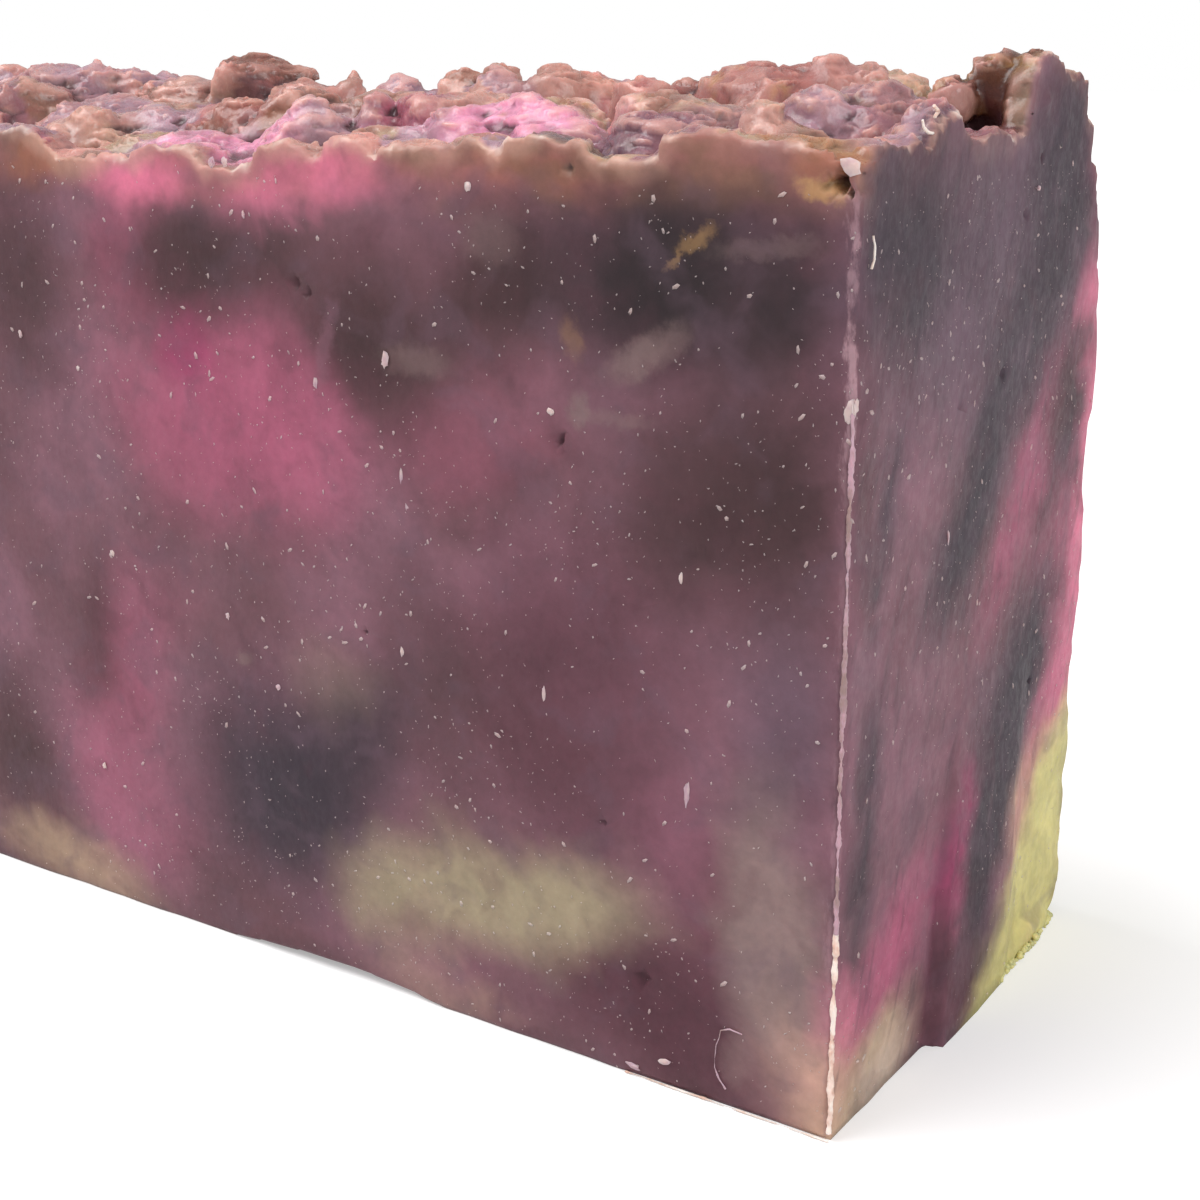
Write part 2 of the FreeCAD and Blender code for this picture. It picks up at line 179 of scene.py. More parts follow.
class Tree:
    """Adds nodes to one shader or geometry tree and links them."""

    def __init__(self, tree: bpy.types.NodeTree) -> None:
        """Keeps the tree that the nodes go into."""
        self.tree = tree

    def add(self, kind: str, inputs: dict[str | int, Value] | None = None,
            **settings: object) -> bpy.types.Node:
        """Adds one node.

        Args:
            kind: The node's type name.
            inputs: Values or sockets for its inputs, by name or number.
            settings: Properties of the node.

        Returns:
            The new node.
        """
        node = self.tree.nodes.new(kind)
        for name, value in settings.items():
            setattr(node, name, value)
        for key, value in (inputs or {}).items():
            self.feed(node.inputs[key], value)
        return node

    def feed(self, socket: Socket, value: Value) -> None:
        """Links a socket to an input, or sets the input's own value."""
        if isinstance(value, Socket):
            self.tree.links.new(value, socket)
        else:
            socket.default_value = value.linear if isinstance(value, Pigment) else value

    def math(self, operation: str, *values: Value) -> Socket:
        """Adds a Math node and returns its result."""
        return self.add("ShaderNodeMath", dict(enumerate(values)), operation=operation).outputs[0]

    def product(self, *values: Value) -> Socket:
        """Multiplies two or more numbers."""
        result = values[0]
        for value in values[1:]:
            result = self.math("MULTIPLY", result, value)
        return result

    def vector(self, operation: str, *values: Value) -> Socket:
        """Adds a Vector Math node and returns its vector."""
        node = self.add("ShaderNodeVectorMath", operation=operation)
        for index, value in enumerate(values):
            scale = operation == "SCALE" and index == 1
            self.feed(node.inputs["Scale"] if scale else node.inputs[index], value)
        return node.outputs["Value" if operation in ("LENGTH", "DOT_PRODUCT", "DISTANCE") else "Vector"]

    def ramp(self, value: Value, start: Value, finish: Value, low: Value = 0.0, high: Value = 1.0,
             kind: str = "SMOOTHSTEP") -> Socket:
        """Maps a value from one range to another, clamped.

        Args:
            value: What is mapped.
            start: The value that gives low.
            finish: The value that gives high.
            low: The result at start.
            high: The result at finish.
            kind: The curve between them.

        Returns:
            The mapped value.
        """
        node = self.add("ShaderNodeMapRange", interpolation_type=kind)
        for index, item in enumerate((value, start, finish, low, high)):
            self.feed(node.inputs[index], item)
        return node.outputs[0]

    def split(self, vector: Socket) -> list[Socket]:
        """Returns the three parts of a vector."""
        return list(self.add("ShaderNodeSeparateXYZ", {0: vector}).outputs)

    def join(self, across: Value, along: Value, up: Value) -> Socket:
        """Makes a vector of three parts."""
        return self.add("ShaderNodeCombineXYZ", {0: across, 1: along, 2: up}).outputs[0]

    def noise(self, where: Socket, scale: float, seed: Value, detail: float, roughness: float,
              output: str = "Fac") -> Socket:
        """Adds a four-dimensional noise texture; its fourth axis is the seed."""
        inputs = {"Vector": where, "W": seed, "Scale": scale, "Detail": detail, "Roughness": roughness}
        return self.add("ShaderNodeTexNoise", inputs, noise_dimensions="4D").outputs[output]

    def drift(self, where: Socket, scale: float, seed: Value, detail: float, roughness: float,
              reach: Value) -> Socket:
        """Returns how far noise carries each point off, either way, in the units of the reach."""
        colour = self.noise(where, scale, seed, detail, roughness, "Color")
        return self.vector("SCALE", self.vector("SUBTRACT", colour, (0.5, 0.5, 0.5)), reach)

    def mix(self, factor: Value, first: Value, second: Value, blend: str = "MIX") -> Socket:
        """Mixes two colours and returns the result."""
        node = self.add("ShaderNodeMix", data_type="RGBA", blend_type=blend, clamp_factor=True)
        self.feed(node.inputs[0], factor)
        self.feed(node.inputs[6], first)
        self.feed(node.inputs[7], second)
        return node.outputs[2]

    def on_object(self) -> Socket:
        """Returns where a shaded point lies on the object, in millimetres."""
        return self.vector("SCALE", self.add("ShaderNodeTexCoord").outputs["Object"], 1 / MM)

    def show(self, shader: Socket, output: str = "ShaderNodeOutputMaterial") -> None:
        """Ends a shader tree with its output."""
        self.tree.links.new(shader, self.add(output).inputs["Surface"])


def empty_tree(owner: bpy.types.Material | bpy.types.World) -> Tree:
    """Gives a material or a world an empty node tree and returns it."""
    owner.use_nodes = True
    owner.node_tree.nodes.clear()
    return Tree(owner.node_tree)


class GeometryTree(Tree):
    """A Geometry Nodes tree with named inputs, made in this script."""

    def __init__(self, name: str, inputs: dict[str, float | int], takes_mesh: bool = True) -> None:
        """Makes the tree with its inputs.

        Args:
            name: The tree's name.
            inputs: Each named input and its value; a whole number makes a whole-number input.
            takes_mesh: Whether the tree works on the object's own mesh.
        """
        super().__init__(bpy.data.node_groups.new(name, "GeometryNodeTree"))
        face = self.tree.interface
        face.new_socket("Geometry", in_out="OUTPUT", socket_type="NodeSocketGeometry")
        if takes_mesh:
            face.new_socket("Geometry", in_out="INPUT", socket_type="NodeSocketGeometry")
        self.sizes = inputs
        for title, value in inputs.items():
            kind = "NodeSocketInt" if isinstance(value, int) else "NodeSocketFloat"
            face.new_socket(title, in_out="INPUT", socket_type=kind).default_value = value
        self.entry = self.tree.nodes.new("NodeGroupInput")
        self.exit = self.tree.nodes.new("NodeGroupOutput")

    def given(self, title: str) -> Socket:
        """Returns a named input."""
        return self.entry.outputs[title]

    def place(self) -> Socket:
        """Returns where the mesh's points lie, in metres."""
        return self.add("GeometryNodeInputPosition").outputs[0]

    def place_mm(self) -> Socket:
        """Returns where the mesh's points lie, in millimetres."""
        return self.vector("SCALE", self.place(), 1 / MM)

    def normal(self) -> Socket:
        """Returns which way the mesh faces."""
        return self.add("GeometryNodeInputNormal").outputs[0]

    def moved(self, mesh: Socket, offset: Socket) -> Socket:
        """Moves a mesh's points by an offset."""
        return self.add("GeometryNodeSetPosition", {"Geometry": mesh, "Offset": offset}).outputs[0]

    def blurred(self, value: Socket, steps: Socket) -> Socket:
        """Averages a vector over the points around each point."""
        blur = self.add("GeometryNodeBlurAttribute", data_type="FLOAT_VECTOR")
        self.feed(blur.inputs[0 if len(blur.inputs) == 3 else "Value"], value)
        self.feed(blur.inputs["Iterations"], steps)
        return blur.outputs[0]

    def stored(self, mesh: Socket, name: str, kind: str, value: Socket) -> Socket:
        """Stores a value at each point, as a named attribute of the given kind."""
        inputs = {"Geometry": mesh, "Name": name}
        store = self.add("GeometryNodeStoreNamedAttribute", inputs, data_type=kind, domain="POINT")
        self.feed(store.inputs["Value"], value)
        return store.outputs[0]

    def close(self, geometry: Socket, material: bpy.types.Material | None = None) -> None:
        """Ends the tree with Realize Instances and, where one is given, Set Material."""
        real = self.add("GeometryNodeRealizeInstances", {0: geometry}).outputs[0]
        if material:
            real = self.add("GeometryNodeSetMaterial", {"Geometry": real, "Material": material}).outputs[0]
        self.tree.links.new(real, self.exit.inputs[0])

    def modify(self, piece: bpy.types.Object) -> None:
        """Puts the tree on a piece and sets each input by its identifier."""
        modifier = piece.modifiers.new(self.tree.name, "NODES")
        modifier.node_group = self.tree
        for item in self.tree.interface.items_tree:
            if item.in_out == "INPUT" and item.name in self.sizes:
                modifier[item.identifier] = self.sizes[item.name]


def new_piece(name: str, mesh: bpy.types.Mesh | None = None) -> bpy.types.Object:
    """Links a new object at the origin.

    Args:
        name: The piece's name.
        mesh: Its mesh, or None for an empty one.

    Returns:
        The new object.
    """
    piece = bpy.data.objects.new(name, mesh or bpy.data.meshes.new(name))
    bpy.context.scene.collection.objects.link(piece)
    return piece


def bake_modifiers(piece: bpy.types.Object) -> None:
    """Turns a piece's modifiers into its own plain mesh."""
    graph = bpy.context.evaluated_depsgraph_get()
    mesh = bpy.data.meshes.new_from_object(piece.evaluated_get(graph))
    piece.modifiers.clear()
    piece.data = mesh
    mesh.name = piece.name


def smooth_shade(piece: bpy.types.Object, sharp_angle: float) -> None:
    """Shades a piece smooth, apart from edges sharper than an angle in degrees."""
    piece.data.shade_smooth()
    piece.data.set_sharp_from_angle(angle=math.radians(sharp_angle))


def piece_of(work: bmesh.types.BMesh, name: str, sharp_angle: float) -> bpy.types.Object:
    """Turns a mesh that was built in bmesh into a smooth piece."""
    mesh = bpy.data.meshes.new(name)
    work.to_mesh(mesh)
    work.free()
    piece = new_piece(name, mesh)
    smooth_shade(piece, sharp_angle)
    return piece


def settle(piece: bpy.types.Object, material: bpy.types.Material) -> bpy.types.Object:
    """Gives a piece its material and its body.

    Args:
        piece: The finished piece.
        material: What it is made of.

    Returns:
        The same piece.
    """
    piece.data.materials.clear()
    piece.data.materials.append(material)
    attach(piece, BODY)
    LOG.info("%s: %d faces", piece.name, len(piece.data.polygons))
    return piece


@dataclass(frozen=True)
class Cloud:
    """One field of pigment on a cut face, reaching some way into the soap.

    For the front face, along is the distance from the near end. For the end, it is the distance
    from the front face. The turn is in degrees, from along the face towards up, as the face is
    looked at.
    """

    face: Face
    along: float
    up: float
    half_along: float
    half_up: float
    pigment: Pigment
    strength: float = 0.8
    turn: float = 0.0
    softness: float = 0.75
    half_deep: float = 9.0


FRONT_CLOUDS = tuple(Cloud(Face.FRONT, *row) for row in (
    (63, 33, 10, 12, Pigment.MAUVE, 0.5),
    (56, 50.5, 4, 6, Pigment.ROSE, 0.55, 12),
    (60, 18, 14, 6, Pigment.ROSE, 0.5, 65),
    (47, 40, 14, 10, Pigment.ROSE, 0.9),
    (51.5, 44.5, 3.4, 3.6, Pigment.MAGENTA, 0.8),
    (39, 38, 6, 5, Pigment.ROSE, 0.45, -40),
    (67, 47, 6.5, 9, Pigment.UMBER, 0.75),
    (48.5, 50.5, 11.5, 5, Pigment.UMBER, 0.95, 4),
    (34, 46, 6, 8, Pigment.UMBER, 1.0, 60),
    (24.5, 49.5, 8, 6.4, Pigment.UMBER, 1.0, 20),
    (13, 51.6, 11.5, 8.6, Pigment.PLUM, 1.0, 12),
    (3.5, 50, 7, 5, Pigment.PLUM, 0.95, 20),
    (26, 40.5, 9, 4.5, Pigment.ROSE, 0.3, 14),
    (17, 43.6, 10, 2.2, Pigment.MAUVE, 0.55, 14),
    (7, 39, 13, 9.5, Pigment.UMBER, 1.0, 30),
    (19, 25, 11, 15, Pigment.WINE, 0.75),
    (30.5, 25, 5, 10, Pigment.UMBER, 0.6, 15),
    (62.5, 21, 3.4, 9, Pigment.UMBER, 0.55, -15),
    (73, 11, 6.5, 9, Pigment.UMBER, 0.75, -20),
    (59, 8, 8, 6.5, Pigment.ROSE, 0.4, 30),
    (44, 13, 12.5, 10.5, Pigment.SLATE, 1.0, 12),
    (37, 19, 7, 5.5, Pigment.SLATE, 0.6, 40),
    (39, 22.5, 4.6, 3.8, Pigment.OLIVE, 0.2),
    (68, 1.6, 12, 3.4, Pigment.TAN, 0.7, -4),
    (12, 5, 12, 7, Pigment.WINE, 1.0, -14),
    (11, 15, 5.0, 9, Pigment.MAGENTA, 0.12, 14),
    (23.5, 10.5, 11.5, 5, Pigment.OLIVE, 1.0, 4, 0.6),
    (33.5, 8, 6.8, 5, Pigment.OLIVE, 0.9, 28),
    (30, 1.5, 8, 2.6, Pigment.TAN, 0.3),
    (4, 26, 5, 9, Pigment.DUSK, 0.85),
    (4.4, 12, 4.4, 12, Pigment.FOG, 1.0, 6, 0.5),
    (0.5, 2, 5.0, 7.0, Pigment.PEACH, 1.0, 20),
    (54, 56.8, 7.5, 3.4, Pigment.CANDY, 1.0, 4),
    (40, 57.2, 8, 3.8, Pigment.CANDY, 0.85, 6),
    (64, 57.6, 6, 2.6, Pigment.RUST, 0.8),
    (22, 57.6, 8, 2.2, Pigment.RUST, 0.5),
    (6.5, 59.0, 8, 2.8, Pigment.TOAST, 0.95),
    (1.2, 51.5, 2.2, 6.5, Pigment.MAUVE, 0.6),
))

END_CLOUDS = (
    Cloud(Face.END, 20, 50, 22, 14, Pigment.DUSK, 0.9, half_deep=6.0),
    Cloud(Face.END, 8, 34, 5, 13, Pigment.MAUVE, 0.3, -14, half_deep=4.0),
    Cloud(Face.END, 7, 53, 8.5, 9, Pigment.SLATE, 0.95, 45, half_deep=4.0),
    Cloud(Face.END, 31, 57, 8.5, 11, Pigment.SLATE, 0.95, half_deep=6.0),
    Cloud(Face.END, 18.5, 53, 9, 8, Pigment.SLATE, 0.4, half_deep=4.0),
    Cloud(Face.END, 26, 47, 14, 6, Pigment.SLATE, 0.85, 38, half_deep=5.0),
    Cloud(Face.END, 17.6, 36.5, 12, 4.2, Pigment.SLATE, 1.0, 58, 0.6, half_deep=5.0),
    Cloud(Face.END, 5.4, 37, 9, 1.3, Pigment.SLATE, 0.85, 74, 0.8, half_deep=4.0),
    Cloud(Face.END, 3.4, 20, 11, 2.0, Pigment.SLATE, 0.9, 86, 0.8, half_deep=3.0),
    Cloud(Face.END, 27, 36, 15, 3.6, Pigment.ROSE, 0.75, 54, 0.7, half_deep=5.0),
    Cloud(Face.END, 33.5, 42, 6.5, 3.6, Pigment.UMBER, 0.75, 48, half_deep=5.0),
    Cloud(Face.END, 38.2, 34, 15, 3.0, Pigment.CANDY, 1.0, 84, 0.7, half_deep=10.0),
    Cloud(Face.END, 38.5, 48.5, 5, 4, Pigment.CANDY, 0.8, half_deep=8.0),
    Cloud(Face.END, 27.6, 22.6, 13, 6.6, Pigment.SLATE, 1.0, 50, 0.7, half_deep=5.0),
    Cloud(Face.END, 17.4, 12.5, 8.5, 2.8, Pigment.MAGENTA, 0.9, 72, half_deep=4.0),
    Cloud(Face.END, 22.6, 12, 12, 3.8, Pigment.SLATE, 1.0, 64, 0.6, half_deep=5.0),
    Cloud(Face.END, 31.4, 15, 9, 2.6, Pigment.ROSE, 0.6, 55, half_deep=5.0),
    Cloud(Face.END, 8.6, 10, 8.5, 4.6, Pigment.ROSE, 1.0, 40, half_deep=4.0),
    Cloud(Face.END, 15.0, 5, 6, 1.8, Pigment.WINE, 0.95, 86, half_deep=3.0),
    Cloud(Face.END, 6.0, 1.6, 7.5, 4.6, Pigment.TAN, 1.0, 14, 0.6, half_deep=4.0),
    # Painted shade: this wine field darkens the foot beside the lobe's step, where the step's shadow falls.
    Cloud(Face.END, 17.5, 2.4, 3.0, 4.6, Pigment.WINE, 0.9, half_deep=3.0),
    Cloud(Face.END, 6.6, 1.0, 6.4, 3.2, Pigment.CREAM, 0.45, 18, half_deep=4.0),
    Cloud(Face.END, 2.2, 8.0, 2.2, 5.5, Pigment.CANDY, 0.55, 10, half_deep=3.0),
    Cloud(Face.END, 38.4, 8, 12, 6.6, Pigment.YELLOW, 1.0, 76, 0.45, half_deep=14.0),
    Cloud(Face.END, 28, 3.4, 12.5, 5.0, Pigment.YELLOW, 1.0, 42, 0.5, half_deep=8.0),
    Cloud(Face.END, 1.0, 28, 1.5, 24, Pigment.MAUVE, 0.7, 0, 0.8, half_deep=2.0),
    Cloud(Face.END, 21.5, -0.4, 7.6, 4.8, Pigment.YELLOW, 1.0, 36, 0.4, half_deep=9.0),
)


@dataclass(frozen=True)
class CragTint:
    """The colour of one lump or stretch of the torn top, placed from the near end and the front."""

    back: float
    inward: float
    half_along: float
    half_across: float
    pigment: Pigment
    strength: float = 0.9


CRAG_TINTS = tuple(CragTint(*row) for row in (
    (28, 8.5, 8.5, 5, Pigment.BLUSH, 1.0),
    (17, 6.6, 5.2, 4.5, Pigment.MAUVE, 0.95),
    (18, 22, 8, 6, Pigment.BRICK, 0.7),
    (9.6, 13.4, 3.6, 3.6, Pigment.LILAC, 0.9),
    (14, 11, 4.5, 4.5, Pigment.MAUVE, 0.7),
    (5.0, 3.0, 5.0, 3.2, Pigment.GOLD, 0.8),
    (6.4, 6.6, 3.4, 3.4, Pigment.BARK, 0.75),
    (11.4, 28.6, 5.5, 5, Pigment.TAN, 0.8),
    (4.8, 26.6, 5.0, 5.0, Pigment.BARK, 1.0),
    (0.6, 29.6, 1.6, 3.6, Pigment.TOAST, 0.9),
    (0.4, 30.0, 1.2, 7, Pigment.SLATE, 0.8),
    (0.6, 11.4, 1.6, 4, Pigment.DUSK, 0.9),
    (5.0, 18.0, 5, 6, Pigment.MAUVE, 0.7),
    (20.5, 3.6, 4.5, 3.6, Pigment.DUSK, 0.85),
    (26, 19.6, 3.6, 3.6, Pigment.BRICK, 0.9),
    (38, 25, 8, 5, Pigment.SALMON, 0.6),
    (40, 10.8, 4, 4, Pigment.ROSE, 0.8),
    (45.4, 8, 5, 4.5, Pigment.LILAC, 0.9),
    (50, 4, 7, 4, Pigment.BLUSH, 0.95),
    (55.2, 11.6, 5, 4.6, Pigment.RUST, 0.7),
    (63.8, 22, 7.4, 6, Pigment.BARK, 0.7),
    (67, 8, 4.4, 4.4, Pigment.PEACH, 0.8),
    (72, 12, 6, 6, Pigment.LILAC, 0.7),
    (84.6, 20, 8, 6, Pigment.LILAC, 0.7),
    (80, 6, 7, 4, Pigment.PEACH, 0.7),
))


@dataclass(frozen=True)
class StirredPigments:
    """Works out the soap's broad colour at each point of the mesh, as the attribute "pigment"."""

    bar: Bar
    broad_warp: float = 7.0        # how far the borders of the fields wander
    fine_warp: float = 2.8
    seed: float = 3.0

    def store(self, tree: GeometryTree, mesh: Socket, torn: Socket, ridge: Socket, rim_highlight: Socket) -> Socket:
        """Stores the colour on a mesh.

        Args:
            tree: The geometry tree.
            mesh: The mesh.
            torn: How much a point belongs to the torn top.
            ridge: How far a point stands out of the mesh around it.
            rim_highlight: How much painted highlight a point gets, on the thin upward-facing edge between the
                torn top and a cut.

        Returns:
            The mesh with the attribute.
        """
        where = tree.place_mm()
        warped = self.stirred(tree, where)
        colour = self.rind(tree, self.ground(tree, warped), where, 0.4, 0.9)
        for cloud in (*FRONT_CLOUDS, *END_CLOUDS):
            colour = self.field(tree, colour, warped, cloud)
        crag = self.crag(tree, where, warped, ridge)
        colour = self.rind(tree, colour, where, 2.0, 0.6)
        colour = self.edge_glow(tree, colour, mesh, where, torn)
        colour = tree.mix(torn, colour, crag)
        # Painted highlight: the thin upward-facing rim of the torn edge is paled to peach and cream, in
        # stretches.
        ragged = tree.noise(where, 0.34, self.seed, 3.0, 0.6)
        pale = tree.product(rim_highlight, tree.ramp(ragged, 0.42, 0.62, 0.05, 0.85))
        thin = tree.mix(tree.ramp(ragged, 0.5, 0.66), Pigment.PEACH, Pigment.CREAM)
        return tree.stored(mesh, "pigment", "FLOAT_COLOR", tree.mix(pale, colour, thin))

    def edge_glow(self, tree: GeometryTree, colour: Socket, mesh: Socket, where: Socket,
                  torn: Socket) -> Socket:
        """Pales the cut faces just below the torn edge, where light comes through the thin soap.

        Args:
            tree: The geometry tree.
            colour: The colour so far.
            mesh: The mesh.
            where: Positions in millimetres.
            torn: How much a point belongs to the torn top.

        Returns:
            The colour with the pale band.
        """
        is_torn = tree.math("GREATER_THAN", torn, 0.5)
        top = tree.add("GeometryNodeSeparateGeometry", {0: mesh, 1: is_torn}).outputs[0]
        away = tree.math("DIVIDE", tree.add("GeometryNodeProximity", {0: top}).outputs["Distance"], MM)
        patch = tree.noise(where, 0.2, self.seed, 3.0, 0.6)
        reach = tree.ramp(patch, 0.35, 0.65, 0.6, 2.4)
        glow = tree.ramp(tree.math("DIVIDE", away, reach), 1.0, 0.0, 0.0, 0.62)
        across = tree.split(where)[0]
        dimmer = tree.ramp(across, self.bar.near_end - 8.0, self.bar.near_end - 18.0, 0.25, 1.0)
        return tree.mix(tree.product(glow, dimmer), colour, Pigment.PEACH)

    def stirred(self, tree: Tree, where: Socket) -> Socket:
        """Returns coordinates that wander as stirred soap does."""
        broad = tree.drift(where, 0.09, self.seed, 2.0, 0.5, self.broad_warp)
        fine = tree.drift(where, 0.5, self.seed + 4.0, 3.0, 0.6, self.fine_warp)
        return tree.vector("ADD", where, tree.vector("ADD", broad, fine))

    def ground(self, tree: Tree, warped: Socket) -> Socket:
        """Returns the stirred base colour, with the yellow foot layer towards the back."""
        swirl = tree.noise(warped, 0.055, 1.3, 2.0, 0.55)
        streak = tree.noise(tree.vector("MULTIPLY", warped, (0.05, 0.05, 0.13)), 1.0, 5.9, 2.0, 0.5)
        colour = tree.mix(tree.ramp(swirl, 0.38, 0.62), Pigment.GROUND, Pigment.MAUVE)
        along, up = tree.split(warped)[1:]
        hidden = tree.ramp(along, 4.0, 14.0)
        for amount, pigment in ((tree.ramp(streak, 0.54, 0.68, 0.0, 0.85), Pigment.ROSE),
                                (tree.ramp(swirl, 0.46, 0.34, 0.0, 0.9), Pigment.SLATE),
                                (tree.ramp(up, 40.0, 26.0, 0.0, 0.8), Pigment.CANDY),
                                (tree.ramp(up, 19.0, 14.0), Pigment.YELLOW)):
            colour = tree.mix(tree.product(hidden, amount), colour, pigment)
        return colour

    def field(self, tree: Tree, colour: Socket, warped: Socket, cloud: Cloud) -> Socket:
        """Lays one field of pigment over the colour."""
        on_front = cloud.face is Face.FRONT
        place = self.bar.on_front if on_front else self.bar.on_end
        centre = tuple(place(cloud.along, cloud.up))
        turn = math.radians(cloud.turn if on_front else -cloud.turn)
        turned = tree.add("ShaderNodeVectorRotate", {"Vector": warped, "Center": centre, "Angle": turn},
                          rotation_type="Y_AXIS" if on_front else "X_AXIS").outputs[0]
        reach = (cloud.half_along, cloud.half_deep, cloud.half_up)
        if not on_front:
            reach = (cloud.half_deep, cloud.half_along, cloud.half_up)
        share = self.share(tree, turned, centre, reach, 1.0 - cloud.softness, cloud.strength)
        return tree.mix(share, colour, cloud.pigment)

    def share(self, tree: Tree, where: Socket, centre: tuple, reach: tuple, inner: float,
              strength: float) -> Socket:
        """Returns how much of a pigment there is: its strength inside an ellipsoid, fading outwards."""
        away = tree.vector("LENGTH", tree.vector("DIVIDE", tree.vector("SUBTRACT", where, centre), reach))
        return tree.ramp(away, 1.15, inner, 0.0, strength)

    def rind(self, tree: Tree, colour: Socket, where: Socket, lift: float, strength: float) -> Socket:
        """Browns the soap just under the torn top, in patches.

        Args:
            tree: The geometry tree.
            colour: The colour so far.
            where: Positions in millimetres.
            lift: How far over the bed the brown starts.
            strength: The share of brown where it is full.

        Returns:
            The colour with the rind.
        """
        patch = tree.noise(tree.vector("MULTIPLY", where, (0.14, 0.14, 0.3)), 1.0, 8.0, 3.0, 0.6)
        reach = tree.math("ADD", tree.split(where)[2], tree.product(patch, 6.0))
        across = tree.split(where)[0]
        off_end = tree.ramp(across, self.bar.near_end - 0.3, self.bar.near_end - 1.2)
        start = self.bar.bed_height + lift
        amount = tree.product(tree.ramp(reach, start, start + 4.0, 0.0, strength), off_end)
        brown = tree.mix(tree.ramp(patch, 0.4, 0.6), Pigment.BRICK, Pigment.TOAST)
        return tree.mix(amount, colour, brown)

    def crag(self, tree: Tree, where: Socket, warped: Socket, ridge: Socket) -> Socket:
        """Colours the torn top: lumps of every pigment, with painted shade in the clefts and painted
        highlights on the ridges.
        """
        lumps = tree.add("ShaderNodeTexVoronoi", {"Vector": warped, "Scale": 0.2}, feature="F1")
        pick = tree.split(lumps.outputs["Color"])[0]
        crag = Pigment.LILAC
        for level, pigment in ((0.2, Pigment.SALMON), (0.4, Pigment.MAUVE), (0.5, Pigment.TAN),
                               (0.62, Pigment.ROSE), (0.72, Pigment.PEACH), (0.86, Pigment.TOAST)):
            crag = tree.mix(tree.ramp(pick, level, level + 0.03, 0.0, 0.8), crag, pigment)
        for tint in CRAG_TINTS:
            centre = (self.bar.near_end - tint.back, self.bar.front + tint.inward, self.bar.bed_height + 3.0)
            reach = (tint.half_along, tint.half_across, 9.0)
            share = self.share(tree, warped, centre, reach, 0.55, tint.strength)
            crag = tree.mix(share, crag, tint.pigment)
        grain = tree.noise(where, 0.45, 2.2, 4.0, 0.65)
        browner = tree.ramp(tree.split(where)[0], self.bar.near_end - 45.0, self.bar.near_end - 25.0)
        dark = tree.mix(browner, Pigment.BRICK, Pigment.BARK)
        pale = tree.mix(browner, Pigment.PEACH, Pigment.STRAW)
        crag = tree.mix(tree.ramp(grain, 0.52, 0.66, 0.0, 0.45), crag, dark)
        crag = tree.mix(tree.ramp(grain, 0.46, 0.32, 0.0, 0.55), crag, pale)
        # Painted shade: hollows between the lumps are darkened with umber.
        crag = tree.mix(tree.ramp(ridge, -0.1, -1.1, 0.0, 0.9), crag, Pigment.UMBER)
        # Painted highlight: crests that stand out are lightened.
        return tree.mix(tree.ramp(ridge, 0.3, 1.3, 0.0, 0.55), crag, Pigment.GLOW)


@dataclass(frozen=True)
class Smudge:
    """A small blurred mark on the front face, by distance from the near end and height."""

    back: float
    up: float
    half_along: float
    half_up: float
    pigment: Pigment
    strength: float = 0.7
    turn: float = 0.0


SMUDGES = tuple(Smudge(*row) for row in (
    (10.2, 53.6, 1.7, 0.6, Pigment.STRAW, 0.34, 26),
    (11.6, 52.3, 0.9, 0.3, Pigment.STRAW, 0.35, 50),
    (2.5, 56.6, 1.6, 0.9, Pigment.STRAW, 0.7, -8),
    (2.0, 58.0, 2.6, 1.0, Pigment.RUST, 0.6, 0),
    (5.6, 53.3, 4.2, 0.8, Pigment.FOG, 0.3, 4),
    (6.9, 3.4, 1.5, 2.4, Pigment.FOG, 0.4, 0),
    (13.5, 47.0, 3.8, 1.3, Pigment.FOG, 0.6, 28),
    (18.6, 47.4, 0.9, 1.5, Pigment.STRAW, 0.2, 30),
    (18.2, 43.2, 1.0, 1.3, Pigment.FOG, 0.7, -10),
    (15.6, 43.0, 3.0, 0.6, Pigment.FOG, 0.35, 0),
    (30.6, 45.2, 3.4, 1.3, Pigment.FOG, 0.4, 0),
    (24.5, 53.0, 2.6, 2.0, Pigment.FOG, 0.3, 0),
    (38.0, 45.5, 0.8, 3.6, Pigment.MAUVE, 0.6, -16),
    (47.0, 22.5, 1.0, 0.7, Pigment.FOG, 0.6, 0),
))


